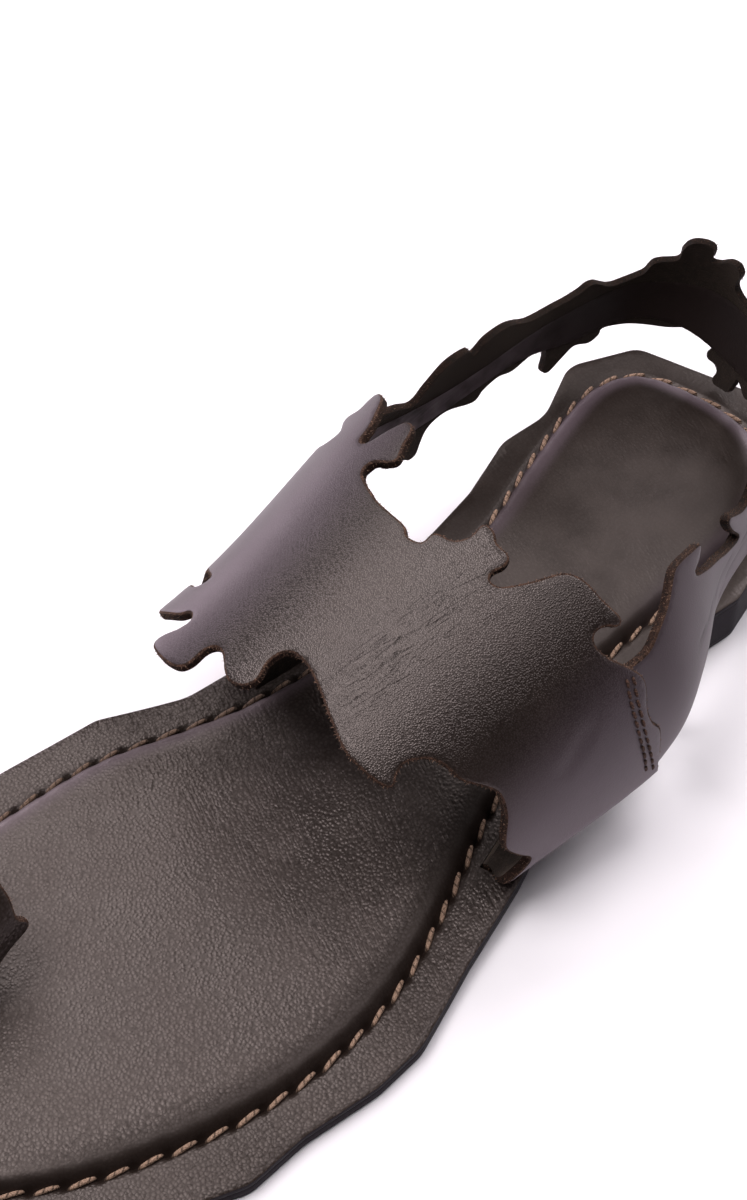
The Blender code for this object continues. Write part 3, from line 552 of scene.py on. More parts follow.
def looseFibres(places, normals, away, thick, seed):
    # loose ends of leather standing out of a cut edge, each a thin closed spike
    random = np.random.default_rng(seed)
    number = int(len(places) * edgePiece["fibres"])
    at = random.integers(0, len(places), number)
    root = places[at] - normals[at] * (thick * random.uniform(0.12, 0.9, number))[:, None]
    along = np.cross(away[at], normals[at])
    lean, tilt = random.normal(0.0, 0.5, number), random.normal(0.0, 0.25, number)
    towards = unit(away[at] + along * lean[:, None] + normals[at] * tilt[:, None])
    length = random.uniform(*edgePiece["fibreLength"], number)
    length *= random.uniform(0.4, 1.0, number)
    width = random.uniform(*edgePiece["fibreWidth"], number)[:, None]
    base = []
    for aside, up in ((1.0, 0.0), (-0.5, 0.87), (-0.5, -0.87)):
        base.append(root + along * width * aside + normals[at] * width * up)
    points = np.stack([*base, root + towards * length[:, None]], axis=1).reshape(-1, 3)
    first = 4 * np.arange(number)[:, None]
    faces = np.vstack([first + trio for trio in ((1, 0, 3), (2, 1, 3), (0, 2, 3), (0, 1, 2))])
    return points, faces


plainStrap = {
    "grid": 1.0, "thick": leatherCut["thick"], "start": 0.0,
    # fine creases and soft folds: start x and width, end x and width, depth, half width
    "creases": (), "waviness": 0.0, "creaseShade": 3.0, "mostShade": 0.4, "folds": (),
    # slopes to a place across the strap darkened by painted shade: start, run, shade
    "slopes": (),
    "swell": 0.08, "swellSize": 26.0, "swellSeed": 4,
}


def relief(flat, strap):
    # height of a strap's grain side over its even thickness, and the painted shade on its creases
    # and slopes
    wavy = np.column_stack([wander(flat, 6.0, 31), wander(flat, 3.0, 32)])
    fine = creases(flat + wavy * strap["waviness"], strap["creases"])
    swell = wander(flat, strap["swellSize"], strap["swellSeed"]) * strap["swell"]
    shade = np.clip(-fine * strap["creaseShade"], 0.0, strap["mostShade"])
    for start, run, most in strap["slopes"]:
        shade += reached(flat[:, 1], start, run) * most
    return fine + creases(flat, strap["folds"]) + swell, shade


def strapShell(name, ring, free, surface, finishes, strap):
    # an even thickness of leather: grain side, rough cut edge, flesh side
    flat = np.vstack([ring, free])
    places, normals = surface.face(flat)
    places = places - normals * strap["start"]
    count, size, thick = len(ring), len(flat), strap["thick"]
    rim, out = places[:count], normals[:count]
    area = np.sum(ring[:, 0] * np.roll(ring[:, 1], -1) - np.roll(ring[:, 0], -1) * ring[:, 1])
    along = np.roll(rim, -1, axis=0) - np.roll(rim, 1, axis=0)
    away = unit(np.cross(along, out)) * math.copysign(1.0, area * surface.hand)
    height, shade = relief(flat, strap)
    outer = places + normals * height[:, None]
    outer[:count] -= out * edgePiece["rounding"] + away * leatherCut["bevel"]
    rough = np.zeros(count)
    for turn, (high, wide) in enumerate(edgePiece["rough"]):
        rough += wander(rim, wide, strap["seed"] + turn) * high
    rings = []
    for share, bulge in edgePiece["rings"]:
        reach = bulge + rough * (0.6 + share)
        rings.append(rim - out * thick * share + away * reach[:, None])
    triangles = fill([ring], free)
    points, faces, finish = slab(outer, triangles, rings, places - normals * thick, triangles)
    fibres, fibreFaces = looseFibres(rim, out, away, thick, strap["seed"])
    faces += [*(len(points) + fibreFaces)]
    finish += [2] * len(fibreFaces)
    pattern = np.vstack([flat, *[ring] * len(rings), flat, np.zeros((len(fibres), 2))])
    fromRim, cut, loose = nearest(ring, flat)[0], np.zeros(len(rings) * count), len(fibres)
    shares = [share for share, _ in edgePiece["rings"]]
    marks = {
        "rim": (fromRim, cut, fromRim, np.zeros(loose)),
        # painted shade of the creases and slopes, on the grain side only
        "fold": (shade, cut, np.zeros(size + loose)),
        "deep": (np.zeros(size), np.repeat(shares, count), np.ones(size), -np.ones(loose)),
    }
    return makePiece(name, np.vstack([points, fibres]), faces, finishes, finish, pattern, marks)


class Value:
    # a node's output that takes part in ordinary sums

    def __init__(self, maker, socket):
        self.maker, self.socket = maker, socket

    def maths(self, operation, *values):
        sockets = dict(enumerate(values))
        return self.maker.node("ShaderNodeMath", {"operation": operation}, sockets)

    def __add__(self, other):
        return self.maths("ADD", self, other)

    def __sub__(self, other):
        return self.maths("SUBTRACT", self, other)

    def __rsub__(self, other):
        return self.maths("SUBTRACT", other, self)

    def __mul__(self, other):
        return self.maths("MULTIPLY", self, other)

    def __pow__(self, other):
        return self.maths("POWER", self, other)

    def __abs__(self):
        return self.maths("ABSOLUTE", self)

    def fraction(self):
        return self.maths("FRACT", self)

    __radd__ = __add__
    __rmul__ = __mul__


class NodeMaker:
    # makes the nodes of one tree, one at a time

    def __init__(self, tree):
        self.tree = tree

    def node(self, kind, settings=(), sockets=(), output=0):
        made = self.tree.nodes.new(kind)
        for name, value in dict(settings).items():
            setattr(made, name, value)
        for name, value in dict(sockets).items():
            if isinstance(value, Value):
                self.tree.links.new(value.socket, made.inputs[name])
            else:
                made.inputs[name].default_value = value
        return Value(self, made.outputs[output]) if made.outputs else None


class Finish(NodeMaker):
    # one material; sizes are given in millimetres, and ranges of place in metres

    def __init__(self, name):
        self.material = bpy.data.materials.new(name)
        self.material.use_nodes = True
        super().__init__(self.material.node_tree)
        self.tree.nodes.clear()

    def place(self):
        return self.node("ShaderNodeTexCoord", output="Object")

    def pattern(self, stretch=1.0, turn=0.0):
        # the piece's flat pattern, drawn out along one direction in it
        flat = self.node("ShaderNodeUVMap", {"uv_map": "pattern"})
        sockets = {"Vector": flat, "Scale": (stretch, 1.0, 1.0), "Rotation": (0.0, 0.0, turn)}
        return self.node("ShaderNodeMapping", {"vector_type": "TEXTURE"}, sockets)

    def mark(self, name):
        return self.node("ShaderNodeAttribute", {"attribute_name": name}, output="Fac")

    def axis(self, where, letter):
        return self.node("ShaderNodeSeparateXYZ", {}, {0: where}, letter)

    def noise(self, where, size, detail=2.0, roughness=0.5, output=0):
        sockets = {"Vector": where, "Scale": 1.0 / (size * mm), "Detail": detail}
        sockets |= {"Roughness": roughness, "Distortion": 0.0}
        return self.node("ShaderNodeTexNoise", {}, sockets, output)

    def cells(self, where, size, feature="DISTANCE_TO_EDGE"):
        sockets = {"Vector": where, "Scale": 1.0 / (size * mm), "Randomness": 0.85}
        return self.node("ShaderNodeTexVoronoi", {"feature": feature}, sockets, "Distance")

    def vector(self, operation, *values):
        sockets = dict(enumerate(values))
        return self.node("ShaderNodeVectorMath", {"operation": operation}, sockets)

    def warped(self, where, size, amount):
        # places moved about a little, so that the cells on them lose their straight sides
        drift = self.noise(where, size, 1.0, output="Color")
        centred = self.vector("SUBTRACT", drift, (0.5, 0.5, 0.5))
        return self.vector("MULTIPLY_ADD", centred, (amount * mm,) * 3, where)

    def ramp(self, value, low, high, outLow=0.0, outHigh=1.0):
        sockets = {"Value": value, "From Min": low, "From Max": high}
        sockets |= {"To Min": outLow, "To Max": outHigh}
        return self.node("ShaderNodeMapRange", {"interpolation_type": "SMOOTHSTEP"}, sockets)

    def fade(self, value, low, high):
        return self.ramp(value, low, high, 1.0, 0.0)

    def mix(self, share, first, second, blend="MIX"):
        pair = [(*c, 1.0) if isinstance(c, tuple) else c for c in (first, second)]
        settings = {"data_type": "RGBA", "blend_type": blend}
        return self.node("ShaderNodeMix", settings, {0: share, 6: pair[0], 7: pair[1]}, 2)

    def bump(self, height, depth):
        sockets = {"Height": height, "Distance": depth * mm, "Strength": 1.0}
        return self.node("ShaderNodeBump", {}, sockets)

    def layer(self, sockets):
        return self.node("ShaderNodeBsdfPrincipled", {}, sockets)

    def over(self, share, first, second):
        return self.node("ShaderNodeMixShader", {}, {0: share, 1: first, 2: second})

    def done(self, shader):
        self.node("ShaderNodeOutputMaterial", {}, {"Surface": shader})
        return self.material


def grainLeather(name, look):
    # fine rounded pebbles with painted shade in the creases between them, over soft mottling
    finish = Finish(name)
    place = finish.place()
    warped = finish.warped(place, look["warpSize"], look["warp"])
    dome = finish.fade(finish.cells(warped, look["pebble"], "F1"), 0.0, look["domeReach"])
    crease = finish.fade(finish.cells(warped, look["pebble"]), 0.0, look["creaseWidth"])
    uneven = finish.noise(place, look["pebble"] * 0.9, 1.0)
    broad = finish.noise(place, look["cloud"], 3.0, 0.55)
    patchy = finish.noise(place, look["patch"], 3.0, 0.6)
    strength = look["grain"](finish, look) * finish.ramp(patchy, 0.3, 0.7, 0.88, 1.0)
    lines = look["lines"](finish, look)
    height = (dome + uneven * look["uneven"] + patchy * look["patchRise"]) * strength - lines
    surface = finish.bump(height, look["depth"])
    # painted shade in the creases between pebbles, in low places of the grain and along the lines
    sunken = crease * look["creaseDark"] + finish.ramp(uneven, 0.35, 0.55, look["uneven"], 0.0)
    low = strength * look["cavity"] * sunken + lines * look["lineShade"]
    worn = finish.fade(finish.mark("rim"), 0.0, look["wornReach"])
    tone = finish.mix(finish.ramp(broad, 0.3, 0.7), look["dark"], look["light"])
    tone = finish.mix(worn * 0.5, tone, look["worn"])
    calm = finish.fade(strength, 0.2, 0.9)
    rough = look["roughness"] + (broad - 0.5) * look["cloudShine"] + calm * look["sideRough"]
    skin = {
        "Base Color": tone, "Roughness": rough, "Normal": surface,
        "Specular Tint": (*look["warm"], 1.0),
    }
    # the tops of the pebbles are polished
    dull = finish.layer(skin | {"IOR": look["gloss"]})
    shiny = finish.layer(skin | {"IOR": look["polish"]})
    warm = finish.over(strength * dome, dull, shiny)
    # painted sheen: a lilac copy of the leather stands in for the pale floor's reflection on the
    # sides, lighter lower down, nearer the floor
    lower = finish.fade(finish.axis(place, "Z"), *look["lilacHeights"])
    cool = finish.layer({
        "Base Color": finish.mix(lower, look["lilacDark"], look["lilacLight"]),
        "Roughness": rough + 0.04, "Normal": surface, "IOR": look["lilacGloss"],
        "Specular Tint": (*look["cool"], 1.0),
    })
    # painted shade: a near-black copy of the leather, mixed in at the grain's creases and
    # wherever the attribute mark paints shade
    fold = finish.layer({
        "Base Color": (*look["fold"], 1.0), "Roughness": 0.6, "Normal": surface, "IOR": 1.2,
    })
    sunk = finish.ramp(low + finish.mark("fold"), 0.0, 1.0)
    # where the lilac painted sheen lies
    sides = finish.ramp(look["sides"](finish, look), 0.0, 1.0)
    return finish.done(finish.over(sunk, finish.over(sides, warm, cool), fold))


def strapPaintedSheen(finish, look):
    # the sides lie away from the light and get a lilac painted sheen, the floor's reflection
    inner = finish.fade(finish.axis(finish.pattern(), "Y"), *look["innerTurn"])
    return inner + finish.ramp(finish.axis(finish.place(), "Y"), *look["outerTurn"])


def heelPaintedSheen(finish, look):
    # painted sheen: the lilac copy covers most of the heel strap, in soft patches
    return finish.noise(finish.place(), look["lilacCloud"]) * 0.5 + 0.6


def bedPaintedSheen(finish, look):
    # the rolled edge of the pad, on the inner side and round the heel, gets the lilac painted
    # sheen
    place = finish.place()
    inner = finish.fade(finish.axis(place, "Y"), *look["innerTurn"])
    heel = finish.fade(finish.axis(place, "X"), *look["heelTurn"])
    return finish.mark("tight") * (inner * 0.5 + heel * 0.55)


def strapGrain(finish, look):
    # strongest over the crown, stretched smooth down the sides
    across = finish.axis(finish.pattern(), "Y")
    inner = finish.ramp(across, *look["innerSmooth"], 0.42, 1.0)
    return inner * finish.ramp(across, *look["outerSmooth"], 1.0, 0.34)


def strapLines(finish, look):
    # fine bending wrinkles along the foot over the crown, where a noise crosses its middle
    flat = finish.pattern()
    across, along = finish.axis(flat, "Y"), finish.axis(flat, "X")
    drawn = finish.noise(finish.pattern(7.0, -0.12), look["lineSize"], 1.0)
    lines = finish.fade(abs(drawn - 0.5), 0.0, 0.03)
    (outStart, outEnd), (inStart, inEnd) = look["lineBand"]
    band = finish.ramp(across, outStart, outEnd) * finish.fade(across, inStart, inEnd)
    band = band * finish.fade(along, *look["lineFront"])
    patchy = finish.ramp(finish.noise(flat, 4.0), 0.34, 0.6)
    return lines * band * patchy * 0.8


def bedGrain(finish, look):
    # clear on the forefoot, pressed smooth towards the heel and along the seam
    along = finish.axis(finish.place(), "X")
    pulled = 1.0 - finish.mark("tight") * 0.75
    return finish.ramp(along, *look["pressed"], 0.24, 1.0) * pulled


def bedLines(finish, look):
    # short pulls that fan out from the seam
    drawn = finish.noise(finish.pattern(4.5, 1.15), look["lineSize"], 1.0)
    lines = finish.fade(drawn, 0.36, 0.60)
    patchy = finish.ramp(finish.noise(finish.place(), 8.0), 0.36, 0.60)
    near = finish.fade(finish.axis(finish.place(), "X"), *look["lineFront"])
    return lines * patchy * near * bedGrain(finish, look) * 0.8


def faintGrain(finish, look):
    return finish.ramp(finish.noise(finish.place(), 9.0), 0.3, 0.7, 0.10, 0.25)


def faintLines(finish, look):
    return finish.noise(finish.place(), look["lineSize"]) * 0.1


strapLook = {
    "pebble": 0.34, "warpSize": 1.4, "warp": 0.20, "uneven": 0.22, "depth": 0.050,
    "domeReach": 0.75, "creaseWidth": 0.16, "creaseDark": 0.55, "cavity": 0.75,
    "patch": 3.4, "patchRise": 0.2, "cloud": 11.0, "cloudShine": 0.10,
    "grain": strapGrain, "innerSmooth": (0.050, 0.078), "outerSmooth": (0.106, 0.132),
    "lines": strapLines, "lineSize": 1.7, "lineShade": 0.3, "lineFront": (0.006, 0.016),
    "lineBand": ((0.081, 0.087), (0.095, 0.100)),
    "dark": (0.0110, 0.0068, 0.0055), "light": (0.0165, 0.0105, 0.0085),
    "worn": (0.034, 0.021, 0.015), "wornReach": 0.5, "fold": (0.006, 0.0035, 0.003),
    "roughness": 0.36, "gloss": 1.55, "polish": 1.83,
    "warm": (1.0, 0.84, 0.82), "cool": (1.0, 0.82, 0.94),
    "sides": strapPaintedSheen, "sideRough": 0.08, "lilacGloss": 1.52,
    "innerTurn": (0.053, 0.070), "outerTurn": (0.029, 0.045), "lilacHeights": (0.012, 0.036),
    "lilacDark": (0.036, 0.0255, 0.0290), "lilacLight": (0.096, 0.070, 0.082),
}
bedLook = strapLook | {
    "pebble": 0.70, "warp": 0.35, "uneven": 0.45, "depth": 0.062, "cavity": 0.46,
    "cloud": 9.0, "cloudShine": 0.28, "grain": bedGrain, "pressed": (-0.050, 0.010),
    "lines": bedLines, "lineSize": 0.75, "lineShade": 0.15, "lineFront": (0.022, 0.044),
    "dark": (0.0130, 0.0084, 0.0070), "light": (0.0190, 0.0126, 0.0106),
    "fold": (0.0130, 0.0075, 0.0058), "roughness": 0.41, "gloss": 1.55, "polish": 1.72,
    "warm": (1.0, 0.83, 0.80), "sides": bedPaintedSheen, "sideRough": 0.0,
    "innerTurn": (0.0, 0.016), "heelTurn": (-0.080, -0.050),
}
heelLook = strapLook | {
    "grain": faintGrain, "lines": faintLines, "lineSize": 3.0, "depth": 0.06,
    "gloss": 1.45, "sides": heelPaintedSheen, "lilacCloud": 14.0,
}


def rawEdge(name, look):
    # cut fibres: brown, with paler ends standing out and dark gaps
    finish = Finish(name)
    place = finish.place()
    strands = finish.noise(place, look["strand"], 4.0, 0.7)
    clumps = finish.noise(place, look["strand"] * 4, 2.0)
    tone = finish.mix(finish.ramp(clumps, 0.35, 0.65), look["dark"], look["middle"])
    tone = finish.mix(finish.ramp(strands, 0.56, 0.70), tone, look["pale"])
    tone = finish.mix(finish.fade(strands, 0.32, 0.47), tone, look["gap"])
    # the mark is -1 on loose fibres, and goes from 0 to 1 through the leather
    deep = finish.mark("deep")
    tone = finish.mix(finish.ramp(deep, -1.0, -0.5, 0.7, 0.0), tone, look["pale"])
    tone = finish.mix(finish.ramp(deep, 0.08, 0.40), tone, look["deepShade"], "MULTIPLY")
    rear = finish.fade(finish.axis(place, "X"), *look["rearTurn"])
    tone = finish.mix(rear, tone, look["rearShade"], "MULTIPLY")
    return finish.done(finish.layer({
        "Base Color": tone, "Roughness": 0.85, "Normal": finish.bump(strands, look["depth"]),
        "IOR": 1.25, "Sheen Weight": look["fuzz"], "Sheen Roughness": 0.5,
        "Sheen Tint": (1.0, 0.75, 0.62, 1.0),
    }))


edgeLook = {
    "strand": 0.24, "depth": 0.18, "fuzz": 0.02,
    "dark": (0.024, 0.0120, 0.0085), "middle": (0.064, 0.032, 0.022),
    "pale": (0.280, 0.165, 0.118), "gap": (0.008, 0.004, 0.003),
    "deepShade": (0.40, 0.34, 0.31), "rearShade": (0.45, 0.43, 0.40),
    "rearTurn": (-0.085, -0.030),
}
fleshLook = edgeLook | {
    "strand": 0.36, "depth": 0.12, "fuzz": 0.12,
    "dark": (0.0100, 0.0066, 0.0052), "middle": (0.0165, 0.0110, 0.0085),
    "pale": (0.032, 0.022, 0.0165), "gap": (0.005, 0.0033, 0.0026),
    "deepShade": (1.0, 1.0, 1.0), "rearShade": (0.66, 0.58, 0.55),
}
inkLook = {
    "dark": (0.0050, 0.0032, 0.0050), "light": (0.0084, 0.0058, 0.0086),
    "dust": (0.014, 0.012, 0.016), "cloud": 6.0, "sanding": 0.5, "depth": 0.05,
}


def paintedEdge(name, look):
    # edge ink and rubber: near-black, a little blue, faint sanding marks
    finish = Finish(name)
    fine = finish.noise(finish.place(), look["sanding"], 3.0, 0.6)
    broad = finish.noise(finish.place(), look["cloud"], 2.0)
    tone = finish.mix(broad, look["dark"], look["light"])
    tone = finish.mix(finish.ramp(fine, 0.6, 0.75) * 0.5, tone, look["dust"])
    return finish.done(finish.layer({
        "Base Color": tone, "Roughness": 0.50 + broad * 0.14, "IOR": 1.22,
        "Normal": finish.bump(fine, look["depth"]), "Specular Tint": (1.0, 0.78, 0.95, 1.0),
    }))


def smoothLining(name, look):
    # lilac and softly wrinkled towards the instep, where a painted reflection of the pale floor
    # lights it; plain brown-black round the heel, in painted shade
    finish = Finish(name)
    front = finish.fade(finish.axis(finish.pattern(), "X"), *look["turn"])
    broad = finish.noise(finish.place(), look["cloud"], 3.0)
    fine = finish.noise(finish.place(), 0.5, 3.0, 0.6)
    wrinkles = finish.noise(finish.pattern(5.0, 0.35), look["wrinkle"], 2.0)
    # painted light and shade: the lilac front colour and the brown-black rear colour are lit and
    # shaded copies of one lining
    tone = finish.mix(front * finish.ramp(broad, 0.2, 0.7), look["rear"], look["front"])
    height = fine * 0.4 + broad + wrinkles * front * 2.5
    return finish.done(finish.layer({
        "Base Color": tone, "Roughness": 0.55, "Normal": finish.bump(height, look["depth"]),
        "IOR": 1.25, "Specular Tint": (1.0, 0.84, 0.86, 1.0),
    }))


liningLook = {
    "front": (0.2000, 0.1580, 0.1760), "rear": (0.0150, 0.0098, 0.0088),
    "turn": (0.034, 0.088), "cloud": 8.0, "wrinkle": 1.6, "depth": 0.12,
}


def waxedThread(name, look):
    # two plies laid round each other, with painted shade between them and towards the holes
    finish = Finish(name)
    along, around = finish.mark("threadAlong"), finish.mark("threadAround")
    ply = (along * look["turns"] + around).fraction()
    furrow = finish.ramp(abs(ply - 0.5), 0.32, 0.5)
    hairs = finish.noise(finish.place(), look["hair"], 3.0, 0.7)
    tone = finish.mix(finish.ramp(hairs, 0.35, 0.65), look["dark"], look["light"])
    tone = finish.mix(furrow * 0.75, tone, look["shade"])
    tone = finish.mix(finish.ramp(abs(along - 0.5), 0.30, 0.5) * 0.85, tone, look["shade"])
    # painted shade on the inner side of the seam in front of the heel
    inner = finish.fade(finish.axis(finish.place(), "Y"), *look["soiledAcross"])
    inner = inner * finish.ramp(finish.axis(finish.place(), "X"), *look["soiledAlong"])
    tone = finish.mix(inner * look["soiled"], tone, look["shade"])
    surface = finish.bump(hairs * 0.5 - furrow * 0.7, look["depth"])
    return finish.done(finish.layer({
        "Base Color": tone, "Roughness": 0.7, "Normal": surface, "IOR": 1.3,
    }))


threadLook = {
    "turns": 3.0, "hair": 0.22, "depth": 0.16,
    "dark": (0.135, 0.080, 0.053), "light": (0.400, 0.255, 0.190),
    "shade": (0.020, 0.0105, 0.0065), "soiled": 0.62,
    "soiledAcross": (-0.012, 0.012), "soiledAlong": (-0.060, -0.020),
}
lapThreadLook = threadLook | {
    "dark": (0.024, 0.012, 0.009), "light": (0.120, 0.058, 0.042), "soiled": 0.0,
}


bed = {
    "edgeStep": 0.8, "seamStep": 0.55, "grid": 1.5, "underGrid": 9.0, "soleGrid": 3.0,
    # rings of points this far inside the seam, or outside it where negative; those
    # nearer than fineLines keep the fine step
    "seamLines": (-1.35, -0.9, -0.45, 0.0, 0.4, 0.8, 1.3, 2.0, 3.0, 4.4, 5.8, 7.2),
    "fineLines": 1.4, "edgeRound": 0.28, "edgeInset": 0.45,
    "rollStart": 0.25, "rollPower": 2.6,
    "stitchPitch": 5.8, "groove": 0.44, "grooveWidth": 0.72,
    "hole": 0.55, "holeWidth": 0.75, "holeReach": 0.6,
    # height, distance inside the seam, width: dents beside the holes, a low ridge and the
    # dip next to it
    "pucker": (-0.18, 1.2, 1.3), "puckerWidth": 1.5,
    "ridge": (0.42, 2.0, 1.3), "dip": (-0.08, 5.6, 2.2),
    # uneven heights of the pad and of the margin, more at the heel
    "slack": 0.10, "slackSize": 34.0, "marginSlack": 0.06, "marginSlackSize": 16.0,
    "heelSlack": 1.2, "heelSlackFrom": (-50.0, -20.0),
    # the seam's holes are shallower round the heel, and their painted shade lighter
    "heelSoft": 0.85, "heelSoftFrom": (-40.0, -30.0), "grooveShade": 0.35,
    # painted shade on the outer roll and under the strap, and a darker margin; each
    # reach is a start and a run
    "rollShade": 0.48, "rollFrom": (8.0, 16.0), "rollEnd": (7.5, -4.5),
    "marginShade": 0.12, "marginFrom": (-0.8, -1.5),
    "strapShade": 0.26, "strapFrom": (-10.0, -10.0), "strapEnd": (34.0, -20.0),
    # darker patches of the pad, the one at x 12, y 16 painted shade under the instep strap: x, y,
    # reach, shade
    "dull": (
        (-69.0, -11.0, 12.0, 0.48), (-90.0, -12.0, 12.0, 0.20), (12.0, 16.0, 10.0, 0.28),
        (65.0, 41.0, 10.0, 0.16),
    ),
    "tightEnd": (6.2, -4.0),   # the leather is pulled smooth this far inside the seam
    # rows down the outsole's wall: share of its height, outward bulge, lift
    "soleWall": (
        (0.0, 0.0, 0.0), (0.12, 0.08, 0.0), (0.5, 0.12, 0.0), (0.85, 0.06, 0.0),
        (1.0, -0.05, 0.25),
    ),
}
soleEdge = cutOutline(edgeRows, bed["edgeStep"])
seamLine = throughRows(seamRows, bed["seamStep"], closed=True)
seamLength = np.linalg.norm(np.roll(seamLine, -1, axis=0) - seamLine, axis=1).sum()
stitchCount = round(seamLength / bed["stitchPitch"])


def seamProfile(points):
    # height above the margin, how dark each point lies, in painted shade and darker patches, and
    # where the leather is pulled tight
    x, y = points.T
    away, length = nearest(seamLine, points)
    away = np.where(inside(seamLine, points), away, -away)
    phase = length / seamLength * stitchCount
    fromHole = np.abs(phase - np.round(phase)) * seamLength / stitchCount
    roll = np.clip((away - bed["rollStart"]) / sole["padRoll"], 0.0, 1.0)
    groove = bell(away, bed["grooveWidth"])
    hole = bell(fromHole, bed["holeWidth"]) * bell(away, bed["holeReach"])
    soft = 1.0 - bed["heelSoft"] * reached(x, *bed["heelSoftFrom"])
    height = sole["padRise"] * (1.0 - (1.0 - roll) ** bed["rollPower"])
    height -= bed["groove"] * groove + bed["hole"] * hole * soft
    rows = (bed["pucker"], bell(fromHole, bed["puckerWidth"])), (bed["ridge"], 1), (bed["dip"], 1)
    for (high, place, width), share in rows:
        height += high * bell(away - place, width) * share
    slack = wander(points, bed["slackSize"], 5) * reached(away, 6.0, 8.0) * bed["slack"]
    slack *= 1.0 + bed["heelSlack"] * reached(x, *bed["heelSlackFrom"])
    margin = wander(points, bed["marginSlackSize"], 8) * reached(away, -1.0, -2.0)
    height += slack + margin * bed["marginSlack"]
    # the outer roll turns away from the light, so it lies darker
    side = reached(y, *bed["rollFrom"]) * reached(away, 0.0, 0.5) * bed["rollShade"]
    side *= reached(away, *bed["rollEnd"])
    side += reached(away, *bed["marginFrom"]) * bed["marginShade"]
    side += reached(y, *bed["strapFrom"]) * reached(x, *bed["strapEnd"]) * bed["strapShade"]
    for middleX, middleY, reach, shade in bed["dull"]:
        side += bell(np.hypot(x - middleX, y - middleY), reach) * shade
    # painted shade in the seam's groove and holes, on the roll and under the strap
    dark = (groove * bed["grooveShade"] + hole) * soft + side
    tight = reached(away, -0.5, 1.0) * reached(away, *bed["tightEnd"])
    return height, np.clip(dark, 0.0, 1.0), tight


def slotRing(arch, front, rear, outer):
    # the opening that a strap's tab goes down through, with a gap all round
    xs = np.linspace(rear, front, max(2, round(front - rear)) + 1)
    gap, thick = sole["gap"], leatherCut["thick"]
    width = 100.0 * leatherCut["shareMm"] + gap if outer else -gap
    places, normals = arch.face(np.column_stack([xs, np.full(len(xs), width)]))
    places, normals = places[:, :2], unit(normals[:, :2])
    outside, inwards = places + normals * gap, places - normals * (thick + gap)
    for line in (outside, inwards):
        line[[0, -1]] += [[-gap, 0.0], [gap, 0.0]]
    return np.vstack([outside, inwards[::-1]])


def makeFootbed(finishes, slots):
    lines = []
    for line in bed["seamLines"]:
        near = abs(line) < bed["fineLines"]
        lines.append(inset(seamLine if near else seamLine[::2], line))
    rounded = inset(soleEdge, bed["edgeInset"])
    rings = [soleEdge, rounded, *lines, *slots]
    free = spread(soleEdge, bed["grid"], 0.55)
    clear = np.min([nearest(ring, free)[0] for ring in rings[1:]], axis=0)
    free = free[clear > 0.5 * bed["grid"]]
    flat = np.vstack([*rings, free])
    height, shadow, tight = seamProfile(flat)
    count = len(soleEdge)
    height[:count] -= bed["edgeRound"]
    top = np.column_stack([flat, marginTop(flat[:, 0]) + height])
    triangles = fill(rings, free)
    underRings = [soleEdge, *slots]
    underFree = spread(soleEdge, bed["underGrid"])
    underFree = underFree[np.min([nearest(r, underFree)[0] for r in slots], axis=0) > 3.0]
    underFlat = np.vstack([*underRings, underFree])
    base = marginTop(underFlat[:, 0]) - sole["marginThick"] - 0.2
    underTriangles = fill(underRings, underFree)
    for hole in slots:
        triangles = triangles[~inside(hole, flat[triangles].mean(axis=1))]
        middles = underFlat[underTriangles].mean(axis=1)
        underTriangles = underTriangles[~inside(hole, middles)]
    rings = []
    for share in (0.3, 0.7):
        z = top[:count, 2] * (1 - share) + base[:count] * share
        rings.append(np.column_stack([inset(soleEdge, -0.08), z]))
    first, underFirst, holes = count + len(rounded) + sum(map(len, lines)), count, []
    for hole in slots:
        holes.append((first, underFirst, len(hole)))
        first, underFirst = first + len(hole), underFirst + len(hole)
    under = np.column_stack([underFlat, base])
    points, faces, finish = slab(top, triangles, rings, under, underTriangles, holes)
    rest = np.zeros(len(points) - len(top))
    marks = {
        # the second mark here carries the painted shade from the seam profile
        "rim": (nearest(soleEdge, flat)[0], rest), "fold": (shadow, rest),
        "tight": (tight, rest),
    }
    return makePiece("footbedLeather", points, faces, finishes, finish, points[:, :2], marks)


def makeOutsole(finishes):
    depth = sole["marginThick"] + sole["gap"]
    topZ, footZ = marginTop(soleEdge[:, 0]) - depth, soleUnder(soleEdge[:, 0])
    free, topFree = spread(soleEdge, bed["soleGrid"]), spread(soleEdge, bed["underGrid"])
    rings = []
    for share, bulge, lift in bed["soleWall"]:
        z = topZ * (1 - share) + footZ * share + lift
        rings.append(np.column_stack([inset(soleEdge, -bulge), z]))
    rings.append(np.column_stack([inset(soleEdge, 0.3), footZ]))
    topPoints = np.column_stack([topFree, marginTop(topFree[:, 0]) - depth])
    footPoints = np.column_stack([free, soleUnder(free[:, 0])])
    points, faces, _ = slab(
        np.vstack([rings[0], topPoints]), fill([soleEdge], topFree), rings[1:-1],
        np.vstack([rings[-1], footPoints]), fill([rings[-1][:, :2]], free),
    )
    return makePiece("outsoleUnit", points, faces, finishes, pattern=points[:, :2])


